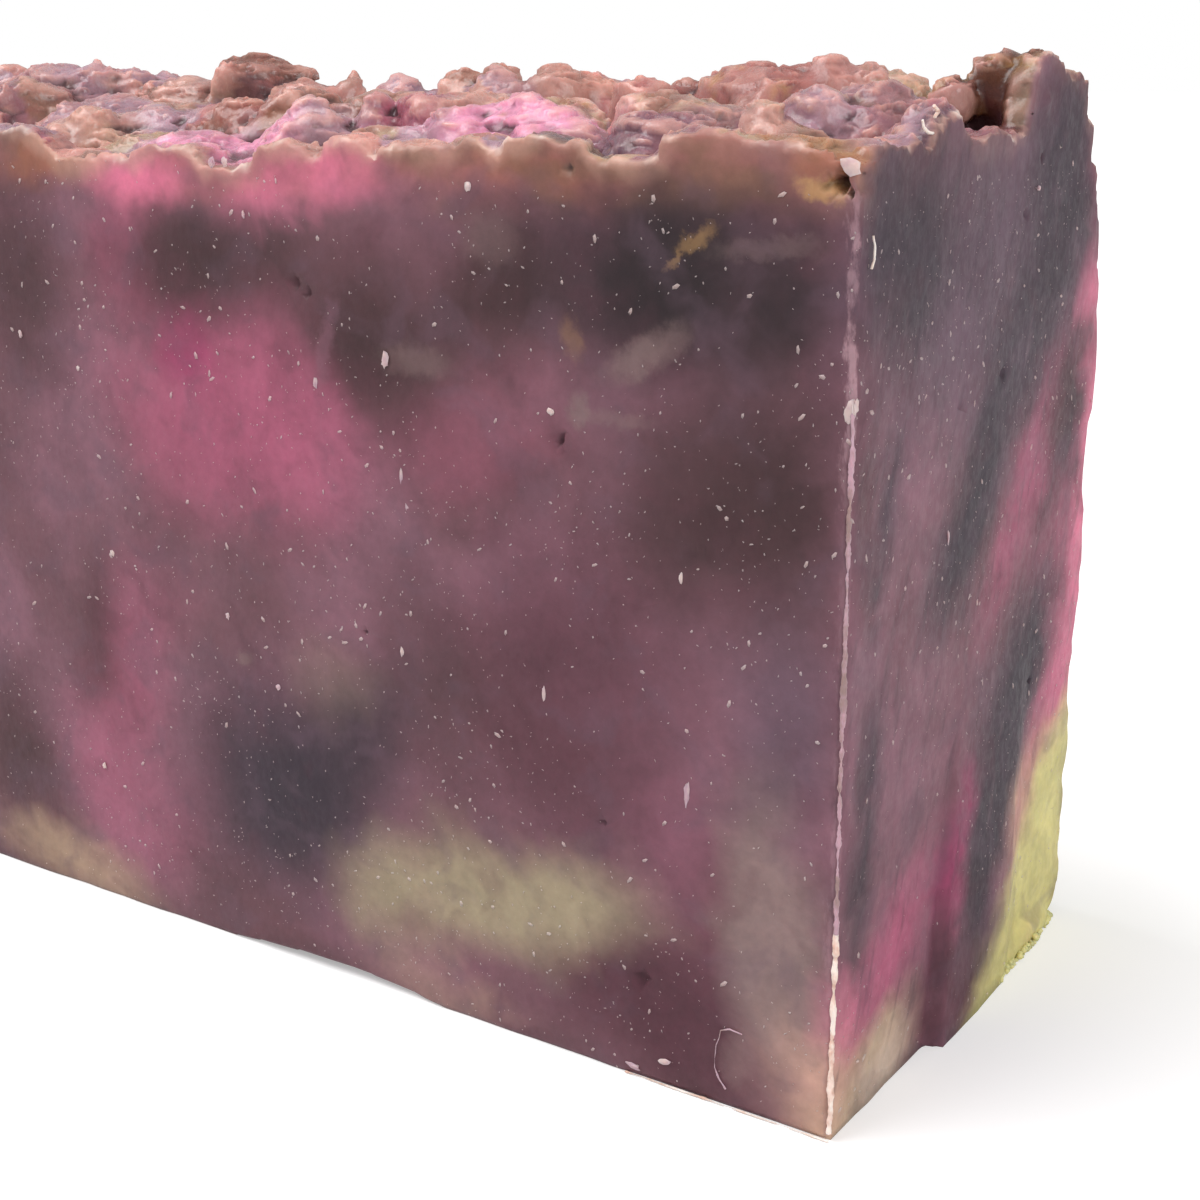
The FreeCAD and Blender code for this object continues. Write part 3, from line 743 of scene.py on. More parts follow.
@dataclass(frozen=True)
class SwirledSoap:
    """Cured soap: the mesh's own pigment, with smudges, worn edges, cloudy depth and a waxy surface."""

    bar: Bar
    bump_height: float = 0.06
    roughness: float = 0.5
    glow_depth: float = 0.9        # how far light spreads in the soap
    shade: float = 0.92            # makes up for the light that the waxy surface adds
    contrast: float = 1.08         # the same for the dark pigments
    worn_width: float = 0.55       # of the pale band along the near vertical edge
    drag_slant: float = 72.0       # of the cutter's streaks on the near end, in degrees

    def build(self) -> bpy.types.Material:
        """Makes the material."""
        material = bpy.data.materials.new("swirled_soap")
        tree = empty_tree(material)
        where = tree.on_object()
        colour = tree.add("ShaderNodeAttribute", attribute_name="pigment").outputs["Color"]
        for step in (self.smudge, self.drag, self.wear, self.mottle):
            colour = step(tree, colour, where)
        self.surface(tree, colour, where)
        return material

    def smudge(self, tree: Tree, colour: Socket, where: Socket) -> Socket:
        """Lays the small blurred marks on the front face."""
        warped = tree.vector("ADD", where, tree.drift(where, 0.9, 7.0, 4.0, 0.7, 2.0))
        for mark in SMUDGES:
            centre = tuple(self.bar.on_front(mark.back, mark.up))
            turned = tree.add("ShaderNodeVectorRotate", {
                "Vector": warped, "Center": centre, "Angle": math.radians(mark.turn)}, rotation_type="Y_AXIS")
            away = tree.vector("SUBTRACT", turned.outputs[0], centre)
            away = tree.vector("LENGTH", tree.vector("DIVIDE", away, (mark.half_along, 2.5, mark.half_up)))
            colour = tree.mix(tree.ramp(away, 1.2, 0.3, 0.0, mark.strength), colour, mark.pigment)
        return colour

    def drag(self, tree: Tree, colour: Socket, where: Socket) -> Socket:
        """Draws slanting streaks on the near end, where the cutter dragged the soft soap."""
        across, along, up = tree.split(where)
        on_end = tree.ramp(across, self.bar.near_end - 1.2, self.bar.near_end - 0.5)
        slant = math.radians(self.drag_slant)
        sine, cosine = math.sin(slant), math.cos(slant)
        beside = tree.math("SUBTRACT", tree.product(along, sine), tree.product(up, cosine))
        forth = tree.math("ADD", tree.product(along, cosine), tree.product(up, sine))
        drawn = tree.join(tree.product(beside, 0.8), tree.product(forth, 0.16), 0.0)
        streak = tree.noise(drawn, 1.0, 4.0, 4.0, 0.6)
        _, green, blue = tree.split(colour)
        plain = tree.ramp(tree.math("SUBTRACT", green, blue), 0.06, 0.16, 1.0, 0.0)
        dark = tree.product(on_end, plain, tree.ramp(streak, 0.52, 0.68, 0.0, 0.36))
        pale = tree.product(on_end, plain, tree.ramp(streak, 0.44, 0.3, 0.0, 0.12))
        colour = tree.mix(dark, colour, Pigment.SLATE)
        return tree.mix(pale, colour, Pigment.WORN)

    def wear(self, tree: Tree, colour: Socket, where: Socket) -> Socket:
        """Pales a feathered band along the near vertical edge and the front foot."""
        across, along, up = tree.split(where)
        from_end = tree.math("SUBTRACT", self.bar.near_end - 0.2, across)
        from_front = tree.math("SUBTRACT", along, self.bar.front + 0.2)
        away = tree.math("MAXIMUM", from_end, tree.product(from_front, 2.2))
        feather = tree.noise(tree.vector("MULTIPLY", where, (1.6, 1.6, 0.55)), 1.0, 3.0, 4.0, 0.7)
        away = tree.math("ADD", away, tree.product(tree.math("SUBTRACT", feather, 0.5), 2.6))
        band = tree.ramp(away, self.worn_width * 1.4, self.worn_width * 0.3)
        patch = tree.noise(where, 0.14, 9.0, 2.0, 0.5)
        high = tree.ramp(up, 40.0, 47.0, 0.35, 0.85)
        under = tree.ramp(up, self.bar.bed_height + 0.6, self.bar.bed_height - 0.8)
        strength = tree.product(high, under, tree.ramp(patch, 0.35, 0.6, 0.45, 1.0))
        return tree.mix(tree.product(band, strength), colour, Pigment.WORN)

    def mottle(self, tree: Tree, colour: Socket, where: Socket) -> Socket:
        """Adds the cloudy depth of cured soap: soft patches, wisps and a fine grain."""
        curled = tree.vector("ADD", where, tree.drift(where, 0.16, 5.0, 2.0, 0.5, 9.0))
        cloudy = tree.noise(curled, 0.24, 2.0, 4.0, 0.55)
        wisp = tree.noise(tree.vector("MULTIPLY", curled, (0.2, 0.2, 0.26)), 1.0, 6.0, 3.0, 0.5)
        colour = tree.mix(tree.ramp(wisp, 0.5, 0.68, 0.0, 0.3), colour, Pigment.DUSK)
        colour = tree.mix(tree.ramp(wisp, 0.48, 0.32, 0.0, 0.22), colour, Pigment.WINE)
        colour = tree.add("ShaderNodeGamma", {"Color": colour, "Gamma": self.contrast}).outputs[0]
        fine = tree.noise(where, 1.5, 4.0, 3.0, 0.6)
        broad = tree.ramp(cloudy, 0.32, 0.68, self.shade - 0.13, self.shade + 0.13, "LINEAR")
        light = tree.math("ADD", broad, tree.ramp(fine, 0.3, 0.7, -0.07, 0.07, "LINEAR"))
        return tree.mix(1.0, colour, tree.join(light, light, light), "MULTIPLY")

    def surface(self, tree: Tree, colour: Socket, where: Socket) -> None:
        """Finishes the shader: waxy gloss, light spreading inside, and a fine grain."""
        drawn = tree.vector("MULTIPLY", where, (1.8, 1.8, 1.3))
        fine = {"Vector": drawn, "Scale": 1.0, "Detail": 3.0, "Roughness": 0.6}
        grain = tree.add("ShaderNodeTexNoise", fine).outputs["Fac"]
        raised = {"Height": grain, "Distance": self.bump_height * MM, "Strength": 0.8}
        bump = tree.add("ShaderNodeBump", raised)
        torn = tree.add("ShaderNodeAttribute", attribute_name="torn").outputs["Fac"]
        rough = tree.math("SUBTRACT", tree.ramp(grain, 0.3, 0.7, self.roughness + 0.1, self.roughness - 0.06),
                          tree.product(torn, 0.26))
        shader = tree.add("ShaderNodeBsdfPrincipled", {
            "Base Color": colour, "Roughness": rough, "Normal": bump.outputs[0],
            "Subsurface Weight": tree.ramp(torn, 0.0, 1.0, 0.3, 0.55), "Subsurface Radius": (1.0, 0.55, 0.5),
            "Subsurface Scale": self.glow_depth * MM, "IOR": 1.44, "Specular IOR Level": 0.4,
        })
        tree.show(shader.outputs[0])


@dataclass(frozen=True)
class PaleScrap:
    """Thin scraps of soap: so thin that they look nearly white."""

    name: str
    colour: Pigment
    tint: Pigment
    roughness: float = 0.5
    local: float = 0.0             # share of the soap's own colour under the scrap

    def build(self) -> bpy.types.Material:
        """Makes the material."""
        material = bpy.data.materials.new(self.name)
        tree = empty_tree(material)
        where = tree.on_object()
        patch = tree.noise(where, 0.7, 1.0, 3.0, 0.6)
        colour = tree.mix(tree.ramp(patch, 0.4, 0.65), self.colour, self.tint)
        if self.local:
            under = tree.add("ShaderNodeAttribute", attribute_name="pigment").outputs["Color"]
            colour = tree.mix(self.local, colour, under)
        grain = tree.noise(where, 4.0, 2.0, 3.0, 0.6)
        bump = tree.add("ShaderNodeBump", {"Height": grain, "Distance": 0.05 * MM, "Strength": 0.7})
        shader = tree.add("ShaderNodeBsdfPrincipled", {
            "Base Color": colour, "Roughness": self.roughness, "Normal": bump.outputs[0],
            "Subsurface Weight": 0.5, "Subsurface Radius": (1.0, 0.7, 0.6), "Subsurface Scale": 0.6 * MM,
            "IOR": 1.46,
        })
        tree.show(shader.outputs[0])
        return material


@dataclass(frozen=True)
class Dent:
    """A small pit in a cut face."""

    face: Face
    along: float
    up: float
    radius: float
    depth: float


@dataclass(frozen=True)
class Mound:
    """A torn lump between the larger ones or at the foot, from the near end and the front."""

    back: float
    inward: float
    top: float
    radius: float


@dataclass
class CutBar:
    """The bar itself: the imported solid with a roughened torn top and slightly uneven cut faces."""

    bar: Bar
    voxel: float = 0.3
    quick_voxel: float = 0.5
    face_triangles: int = 50_000   # for the cut faces, the foot and the back
    most_triangles: int = 190_000
    inset: float = 0.22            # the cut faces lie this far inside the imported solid's
    melt_steps: int = 4            # how often the lumps' facets are softened
    broad_relief: float = 0.36
    ledge_relief: float = 0.3
    fine_relief: float = 0.11
    fray: float = 0.8              # how far the torn edge is frayed along the cuts
    cut_margin: float = 0.9        # within this of a cut, the crag stays flush with it
    calm_share: float = 0.25       # of the softening, away from the torn top
    back_lean: float = 2.2         # how far the back leans in at the top
    back_ripple: float = 0.9       # how deep the back's slow ripple is
    edge_band: float = 1.2         # from a cut, where the torn edge keeps all of its triangles
    hole_back: float = 2.1         # the hole under the torn edge, from the near end
    hole_up: float = 57.0
    hole_size: tuple[float, float, float] = (3.4, 2.6, 1.9)
    proud_limit: float = 0.75      # how far a mound may stand off the near end
    lowest: float = 0.05           # how near a mound may come to the ground
    dents: tuple[Dent, ...] = field(default=(
        Dent(Face.FRONT, 1.35, 56.9, 0.85, 1.6),
        Dent(Face.FRONT, 19.4, 41.3, 0.6, 0.7),
        Dent(Face.FRONT, 40.2, 49.4, 0.7, 0.4),
        Dent(Face.FRONT, 39.2, 48.9, 0.5, 0.4),
        Dent(Face.FRONT, 13.6, 7.2, 0.8, 0.4),
        Dent(Face.FRONT, 35.6, 26.6, 0.28, 0.4),
        Dent(Face.FRONT, 16.4, 17.2, 0.3, 0.4),
        Dent(Face.FRONT, 36.9, 45.1, 0.3, 0.35),
        Dent(Face.FRONT, 18.6, 57.2, 0.5, 0.4),
        Dent(Face.END, 26.4, 57.1, 0.35, 0.35),
        Dent(Face.END, 24.2, 53.7, 0.5, 0.3),
        Dent(Face.END, 21.2, 44.0, 0.4, 0.3),
        Dent(Face.END, 29.8, 21.2, 0.4, 0.3),
    ))
    mounds: tuple[Mound, ...] = field(default=(
        Mound(92.0, 21.0, 63.2, 3.0),
        Mound(81.4, 21.0, 63.4, 2.4),
        Mound(78.8, 23.0, 62.7, 2.4),
        Mound(54.6, 22.6, 62.0, 1.5),
        Mound(49.8, 23.0, 62.2, 2.4),
        Mound(44.0, 23.4, 62.6, 2.4),
        Mound(35.8, 23.6, 63.0, 2.8),
        Mound(24.2, 23.0, 62.0, 1.9),
        Mound(13.4, 23.0, 63.4, 2.2),
        Mound(11.4, 24.0, 62.9, 2.2),
        Mound(5.4, 24.0, 62.2, 1.8),
        Mound(2.0, 36.0, 62.0, 1.4),
        Mound(1.2, 26.4, 61.9, 1.5),
        Mound(0.6, 19.0, 0.5, 1.1),
        Mound(0.5, 21.0, 0.6, 1.2),
        Mound(0.4, 23.0, 0.9, 1.3),
        Mound(0.4, 24.8, 1.3, 1.4),
        Mound(0.4, 26.5, 1.2, 1.5),
        Mound(0.3, 28.2, 1.7, 1.6),
        Mound(0.3, 29.9, 1.6, 1.7),
        Mound(0.3, 31.6, 2.1, 1.8),
        Mound(0.4, 33.2, 1.9, 1.8),
        Mound(0.8, 34.8, 2.2, 1.9),
        Mound(1.4, 36.2, 2.2, 1.9),
        Mound(2.8, 37.2, 1.8, 1.8),
    ))

    def build(self, source: bpy.types.Object, material: bpy.types.Material) -> bpy.types.Object:
        """Builds the bar's visible surface.

        Args:
            source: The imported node.
            material: The swirled soap.

        Returns:
            The finished piece.
        """
        piece = new_piece("cut_bar", source.data.copy())
        self.merge(piece)
        self.fill(piece)
        remesh = piece.modifiers.new("remesh", "REMESH")
        remesh.mode = "VOXEL"
        remesh.voxel_size = self.voxel * MM
        self.relief_tree().modify(piece)
        bake_modifiers(piece)
        self.thin_out(piece)
        self.marks_tree(material).modify(piece)
        bake_modifiers(piece)
        piece.data.shade_smooth()
        settle(piece, material)
        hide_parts(NODE)
        return piece

    def merge(self, piece: bpy.types.Object) -> None:
        """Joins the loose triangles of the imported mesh."""
        work = bmesh.new()
        work.from_mesh(piece.data)
        bmesh.ops.remove_doubles(work, verts=work.verts, dist=1e-6)
        work.to_mesh(piece.data)
        work.free()

    def fill(self, piece: bpy.types.Object) -> None:
        """Adds the mounds, and fills the hole at the near front corner, which is pressed in later."""
        middle = self.bar.on_front(self.hole_back, self.hole_up) + Vector((0.0, self.hole_size[1] / 2, 0.0))
        work = bmesh.new()
        work.from_mesh(piece.data)
        size = Matrix.Diagonal((*self.hole_size, 1.0)) @ Matrix.Scale(MM, 4)
        bmesh.ops.create_cube(work, size=1.0, matrix=Matrix.Translation(middle * MM) @ size)
        most_x = self.bar.near_end + self.proud_limit
        for mound in self.mounds:
            middle = Vector((self.bar.near_end - mound.back, self.bar.front + mound.inward,
                             mound.top - mound.radius))
            made = bmesh.ops.create_icosphere(work, subdivisions=2, radius=mound.radius)["verts"]
            for vertex in made:
                point = middle + vertex.co
                vertex.co = Vector((min(point.x, most_x), point.y, max(point.z, self.lowest))) * MM
        work.to_mesh(piece.data)
        work.free()

    def thin_out(self, piece: bpy.types.Object) -> None:
        """Takes triangles out of the plain faces first and of the torn top second.

        The band along the visible torn edges keeps all of its triangles.
        """
        places = [0.0] * (3 * len(piece.data.vertices))
        piece.data.vertices.foreach_get("co", places)
        groups: dict[str, list[int]] = {"edge_band": [], "crag": [], "plain": []}
        for index, (across, along, up) in enumerate(zip(places[::3], places[1::3], places[2::3])):
            by_front = along / MM < self.bar.front + self.edge_band
            beside = by_front or across / MM > self.bar.near_end - self.edge_band
            if beside and up / MM > self.bar.bed_height - 3.0:
                groups["edge_band"].append(index)
            else:
                groups["crag" if up / MM > self.bar.bed_height - 2.0 else "plain"].append(index)
        for name, members in groups.items():
            piece.vertex_groups.new(name=name).add(members, 1.0, "REPLACE")
        total = 2 * len(piece.data.polygons)
        plain = 6 * total * len(groups["plain"]) // (2 * len(places))
        self.collapse(piece, "plain", (total - plain + min(plain, self.face_triangles)) / total)
        self.collapse(piece, "crag", min(1.0, self.most_triangles / len(piece.data.polygons)))

    def collapse(self, piece: bpy.types.Object, group: str, ratio: float) -> None:
        """Takes triangles out of one vertex group."""
        thin = piece.modifiers.new("thin_" + group, "DECIMATE")
        thin.ratio, thin.vertex_group = ratio, group
        thin.use_collapse_triangulate = True
        bake_modifiers(piece)

    def torn_share(self, tree: Tree, up: Socket) -> Socket:
        """Returns how much a point belongs to the torn top, from its height in millimetres."""
        return tree.ramp(up, self.bar.bed_height - 2.4, self.bar.bed_height + 0.4)

    def freedom(self, tree: Tree, along: Socket, low: float, high: float) -> Socket:
        """Returns how free a point is to move across the nearer of two cuts."""
        first = tree.ramp(tree.math("SUBTRACT", along, low), 0.1, self.cut_margin)
        second = tree.ramp(tree.math("SUBTRACT", high, along), 0.1, self.cut_margin)
        return tree.math("MULTIPLY", first, second)

    def relief_tree(self) -> GeometryTree:
        """Makes the tree that melts the facets, roughens the crag and presses the dents in."""
        tree = GeometryTree("torn_relief", {
            "Broad relief": self.broad_relief, "Ledge relief": self.ledge_relief,
            "Fine relief": self.fine_relief, "Melt steps": self.melt_steps,
            "Inset": self.inset, "Fray": self.fray, "Seed": 4.0,
        })
        mesh = self.melt(tree, tree.given("Geometry"))
        mesh = self.roughen(tree, mesh)
        mesh = self.press_dents(tree, mesh)
        tree.close(self.draw_in(tree, mesh))
        return tree

    def melt(self, tree: GeometryTree, mesh: Socket) -> Socket:
        """Softens the lumps' facets, and the cut faces a little."""
        place = tree.place()
        moved = tree.vector("SUBTRACT", tree.blurred(place, tree.given("Melt steps")), place)
        return self.shift(tree, mesh, moved, place, self.calm_share)

    def shift(self, tree: GeometryTree, mesh: Socket, moved: Socket, place: Socket,
              elsewhere: float) -> Socket:
        """Moves points, keeping the crag flush with the cuts.

        Args:
            tree: The tree.
            mesh: The mesh to move.
            moved: How far each point would move.
            place: The points' positions.
            elsewhere: The share of the move that the rest of the bar makes.

        Returns:
            The moved mesh.
        """
        across, along, up = tree.split(tree.vector("SCALE", place, 1 / MM))
        share = tree.math("MAXIMUM", self.torn_share(tree, up), elsewhere)
        free_x = self.freedom(tree, across, self.bar.far_end, self.bar.near_end)
        free_y = self.freedom(tree, along, self.bar.front, self.bar.back - self.back_lean)
        grounded = tree.ramp(up, 0.0, 0.6)
        hold = tree.join(*[tree.product(share, free) for free in (free_x, free_y, grounded)])
        return tree.moved(mesh, tree.vector("MULTIPLY", moved, hold))

    def roughen(self, tree: GeometryTree, mesh: Socket) -> Socket:
        """Tears the crag: wandering lumps, layered ledges and crumbly patches."""
        place, normal = tree.place(), tree.normal()
        scaled = tree.vector("SCALE", place, 1 / MM)
        seed = tree.given("Seed")
        fold = tree.drift(scaled, 0.3, seed, 3.0, 0.55, tree.product(tree.given("Broad relief"), 3.0 * MM))
        layers = tree.noise(tree.vector("MULTIPLY", scaled, (0.35, 0.35, 1.5)), 1.0, seed, 3.0, 0.6)
        ledge = tree.ramp(layers, 0.46, 0.54, -0.5, 0.5)
        patch = tree.ramp(tree.noise(scaled, 0.16, seed, 1.0, 0.5), 0.46, 0.62, 0.2, 1.3)
        grain = tree.math("SUBTRACT", tree.noise(scaled, 1.3, seed, 4.0, 0.65), 0.5)
        chips = tree.add("ShaderNodeTexVoronoi", {"Vector": scaled, "Scale": 0.75}, feature="F1")
        crumb = tree.math("SUBTRACT", tree.product(grain, 3.0), tree.product(chips.outputs["Distance"], 0.8))
        crumb = tree.product(crumb, patch, tree.given("Fine relief"))
        flat = tree.ramp(tree.math("ABSOLUTE", tree.split(normal)[2]), 0.25, 0.7, 0.15, 1.0)
        ledge = tree.product(ledge, flat, tree.given("Ledge relief"))
        lift = tree.vector("SCALE", normal, tree.product(tree.math("ADD", ledge, crumb), MM))
        mesh = self.shift(tree, mesh, tree.vector("ADD", fold, lift), place, 0.0)
        return self.fray_edge(tree, mesh, scaled)

    def fray_edge(self, tree: GeometryTree, mesh: Socket, scaled: Socket) -> Socket:
        """Frays the torn edge where the cuts went through it, up and down."""
        across, along, up = tree.split(scaled)
        inside = self.freedom(tree, across, self.bar.far_end, self.bar.near_end)
        free_y = self.freedom(tree, along, self.bar.front, self.bar.back - self.back_lean)
        beside = tree.math("SUBTRACT", 1.0, tree.product(inside, free_y))
        teeth = tree.math("SUBTRACT", tree.noise(scaled, 0.6, 6.0, 4.0, 0.7), 0.5)
        patch = tree.ramp(tree.noise(scaled, 0.13, 2.0, 1.0, 0.5), 0.38, 0.6, 0.3, 1.4)
        high = tree.ramp(up, self.bar.bed_height - 1.6, self.bar.bed_height + 1.0)
        teeth, share = tree.product(teeth, patch), tree.product(beside, high)
        rise = tree.product(teeth, share, tree.given("Fray"), 2.0 * MM)
        return tree.moved(mesh, tree.join(0.0, 0.0, rise))

    def press_dents(self, tree: GeometryTree, mesh: Socket) -> Socket:
        """Presses each dent into its face."""
        place = tree.place_mm()
        ragged = tree.ramp(tree.noise(place, 1.8, 2.0, 2.0, 0.6), 0.3, 0.7, 0.6, 1.6)
        depth: dict[Face, Socket] = {}
        for dent in self.dents:
            on_front = dent.face is Face.FRONT
            find = self.bar.on_front if on_front else self.bar.on_end
            away = tree.product(tree.vector("DISTANCE", place, tuple(find(dent.along, dent.up))), ragged)
            deep = tree.ramp(away, dent.radius, dent.radius * 0.3, 0.0, dent.depth * MM)
            depth[dent.face] = tree.math("MAXIMUM", depth.get(dent.face, 0.0), deep)
        return tree.moved(mesh, tree.join(tree.product(depth[Face.END], -1.0), depth[Face.FRONT], 0.0))

    def draw_in(self, tree: GeometryTree, mesh: Socket) -> Socket:
        """Draws the cut faces in a little, unevenly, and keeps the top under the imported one."""
        place, scaled = tree.place(), tree.place_mm()
        across, along, up = tree.split(place)
        wave = tree.noise(scaled, 0.12, 1.0, 2.0, 0.5)
        inset = tree.product(tree.given("Inset"), tree.ramp(wave, 0.3, 0.7, 0.7, 1.5))
        kept_x = tree.math("SUBTRACT", 1.0, tree.math("DIVIDE", inset, self.bar.high.x / MM))
        ripple = tree.noise(scaled, 0.2, 3.0, 2.0, 0.6)
        behind = tree.ramp(along, 0.6 * self.bar.high.y, self.bar.high.y, 0.0, 1.0)
        sunk = tree.product(tree.ramp(ripple, 0.35, 0.65, 0.0, self.back_ripple), behind)
        deep = tree.math("DIVIDE", tree.math("ADD", inset, sunk), self.bar.high.y / MM)
        kept_y = tree.math("SUBTRACT", 1.0, deep)
        lower = tree.math("MINIMUM", tree.math("MAXIMUM", up, 0.0), (self.bar.top - 0.1) * MM)
        drawn = tree.join(tree.product(across, kept_x), tree.product(along, kept_y), lower)
        return tree.add("GeometryNodeSetPosition", {"Geometry": mesh, "Position": drawn}).outputs[0]

    def marks_tree(self, material: bpy.types.Material) -> GeometryTree:
        """Makes the tree that marks the torn top and its ridges, and lays the pigments."""
        tree = GeometryTree("soap_marks", {"Spread steps": 14, "Ridge height": 0.32})
        place, normal = tree.place(), tree.normal()
        blurred = tree.blurred(place, tree.given("Spread steps"))
        stands = tree.vector("DOT_PRODUCT", normal, tree.vector("SUBTRACT", place, blurred))
        ridge = tree.math("DIVIDE", tree.math("DIVIDE", stands, MM), tree.given("Ridge height"))
        across, along, up = tree.split(tree.vector("SCALE", place, 1 / MM))
        from_front = tree.math("SUBTRACT", along, self.bar.front + self.inset)
        from_end = tree.math("SUBTRACT", self.bar.near_end - self.inset, across)
        nearest = tree.math("MINIMUM", from_front, from_end)
        share = self.torn_share(tree, up)
        torn = tree.product(share, tree.ramp(nearest, 0.15, 0.5))
        upward = tree.ramp(tree.split(normal)[2], 0.1, 0.6)
        # Painted highlight mask: the thin edge of the torn top, only where it faces upward.
        rim_highlight = tree.product(share, tree.ramp(nearest, 0.55, 0.2), upward)
        mesh = tree.stored(tree.given("Geometry"), "torn", "FLOAT", torn)
        tree.close(StirredPigments(self.bar).store(tree, mesh, torn, ridge, rim_highlight), material)
        return tree


@dataclass
class RaggedRidge:
    """A thin ragged ridge of drawn-out soap along a path."""

    name: str
    path: tuple[Vector, ...]
    girth: float
    ragged: float
    seed: float
    wander: float = 1.2            # how far it strays from the path, in girths
    step: float = 0.14

    def build(self, material: bpy.types.Material) -> bpy.types.Object:
        """Builds the ridge as a thin tube of uneven girth.

        Args:
            material: The pale scrap that it is made of.

        Returns:
            The finished piece.
        """
        mesh = bpy.data.meshes.new(self.name)
        joins = [(index, index + 1) for index in range(len(self.path) - 1)]
        mesh.from_pydata([tuple(point * MM) for point in self.path], joins, [])
        tree = GeometryTree(self.name, {"Girth": self.girth, "Ragged": self.ragged, "Seed": self.seed})
        line = tree.add("GeometryNodeMeshToCurve", {0: tree.given("Geometry")}).outputs[0]
        steps = {"Curve": line, "Length": self.step * MM}
        points = tree.add("GeometryNodeResampleCurve", steps, mode="LENGTH")
        place, seed, girth = tree.place_mm(), tree.given("Seed"), tree.given("Girth")
        offset = tree.drift(place, 0.9, seed, 3.0, 0.6, tree.product(girth, self.wander * MM))
        moved = tree.moved(points.outputs[0], offset)
        swell = tree.noise(place, 0.7, tree.math("ADD", seed, 5.0), 4.0, 0.7)
        swell = tree.product(tree.math("SUBTRACT", swell, 0.5), tree.given("Ragged"))
        radius = tree.product(tree.ramp(swell, -0.5, 1.0, 0.15, 1.8, "LINEAR"), tree.product(girth, MM))
        ring = tree.add("GeometryNodeCurvePrimitiveCircle", {"Resolution": 6, "Radius": 1.0}).outputs[0]
        inputs = {"Curve": moved, "Profile Curve": ring, "Scale": radius, "Fill Caps": True}
        tree.close(tree.add("GeometryNodeCurveToMesh", inputs).outputs[0], material)
        piece = new_piece(self.name, mesh)
        tree.modify(piece)
        bake_modifiers(piece)
        smooth_shade(piece, 60.0)
        return settle(piece, material)


@dataclass
class PaleSpecks:
    """Tiny pale crystals all over the cut faces, drawn out a little up and down."""

    bar: Bar
    name: str
    per_square_mm: float
    small: float
    large: float
    rings: int                     # of the ball that each speck is made from
    uneven: float = 0.15           # how far their outlines stray
    seed: int = 8

    def build(self, surface: bpy.types.Object, material: bpy.types.Material) -> bpy.types.Object:
        """Scatters the specks over the finished bar.

        Args:
            surface: The finished bar.
            material: What the specks are made of.

        Returns:
            The finished piece.
        """
        tree = GeometryTree("scattered_" + self.name, {
            "Per square mm": self.per_square_mm, "Small": self.small, "Large": self.large, "Seed": self.seed,
        })
        place = tree.place_mm()
        upright = tree.ramp(tree.math("ABSOLUTE", tree.split(tree.normal())[2]), 0.3, 0.1)
        low = tree.ramp(tree.split(place)[2], self.bar.bed_height + 0.8, self.bar.bed_height - 0.8)
        patchy = tree.ramp(tree.noise(place, 0.1, 2.0, 3.0, 0.6), 0.38, 0.62, 0.25, 1.9)
        per_square_metre = tree.product(tree.given("Per square mm"), MM ** -2)
        density = tree.product(tree.product(upright, low, patchy), per_square_metre)
        scattered = tree.add("GeometryNodeDistributePointsOnFaces", {
            "Mesh": tree.given("Geometry"), "Density": density, "Seed": tree.given("Seed"),
        })
        turn = tree.add("FunctionNodeAxesToRotation", {"Primary Axis": scattered.outputs["Normal"],
                                                       "Secondary Axis": (0, 0, 1)},
                        primary_axis="Z", secondary_axis="Y").outputs[0]
        luck = tree.add("FunctionNodeRandomValue", {"Seed": tree.given("Seed")}).outputs[1]
        larger = tree.math("SUBTRACT", tree.given("Large"), tree.given("Small"))
        spread = tree.product(larger, tree.math("POWER", luck, 5.0))
        size = tree.product(tree.math("ADD", tree.given("Small"), spread), MM)
        ball = {"Radius": 1.0, "Segments": 2 + self.rings, "Rings": self.rings}
        grain = tree.add("GeometryNodeMeshUVSphere", ball).outputs[0]
        tilt = tree.add("FunctionNodeRandomValue", {2: -1.4, 3: 1.4, "Seed": 3}).outputs[1]
        spin = tree.add("FunctionNodeAxisAngleToRotation", {"Axis": (0, 0, 1), "Angle": tilt}).outputs[0]
        turn = tree.add("FunctionNodeRotateRotation", {"Rotation": turn, "Rotate By": spin},
                        rotation_space="LOCAL").outputs[0]
        length = tree.add("FunctionNodeRandomValue", {2: 0.8, 3: 1.9, "Seed": 11}).outputs[1]
        shape = tree.join(*[tree.product(size, share) for share in (0.75, length, 0.3)])
        specks = tree.add("GeometryNodeInstanceOnPoints", {
            "Points": scattered.outputs["Points"], "Instance": grain, "Rotation": turn, "Scale": shape,
        })
        real = tree.add("GeometryNodeRealizeInstances", {0: specks.outputs[0]}).outputs[0]
        tree.close(tree.moved(real, tree.drift(place, 7.0, 1.0, 1.0, 0.5, self.uneven * MM)), material)
        piece = new_piece(self.name, surface.data.copy())
        tree.modify(piece)
        bake_modifiers(piece)
        piece.data.shade_smooth()
        return settle(piece, material)


@dataclass(frozen=True)
class Flake:
    """A pale flake on a cut face, with its half sizes along and up, and its turn in degrees."""

    face: Face
    along: float
    up: float
    half_along: float
    half_up: float
    turn: float = 0.0


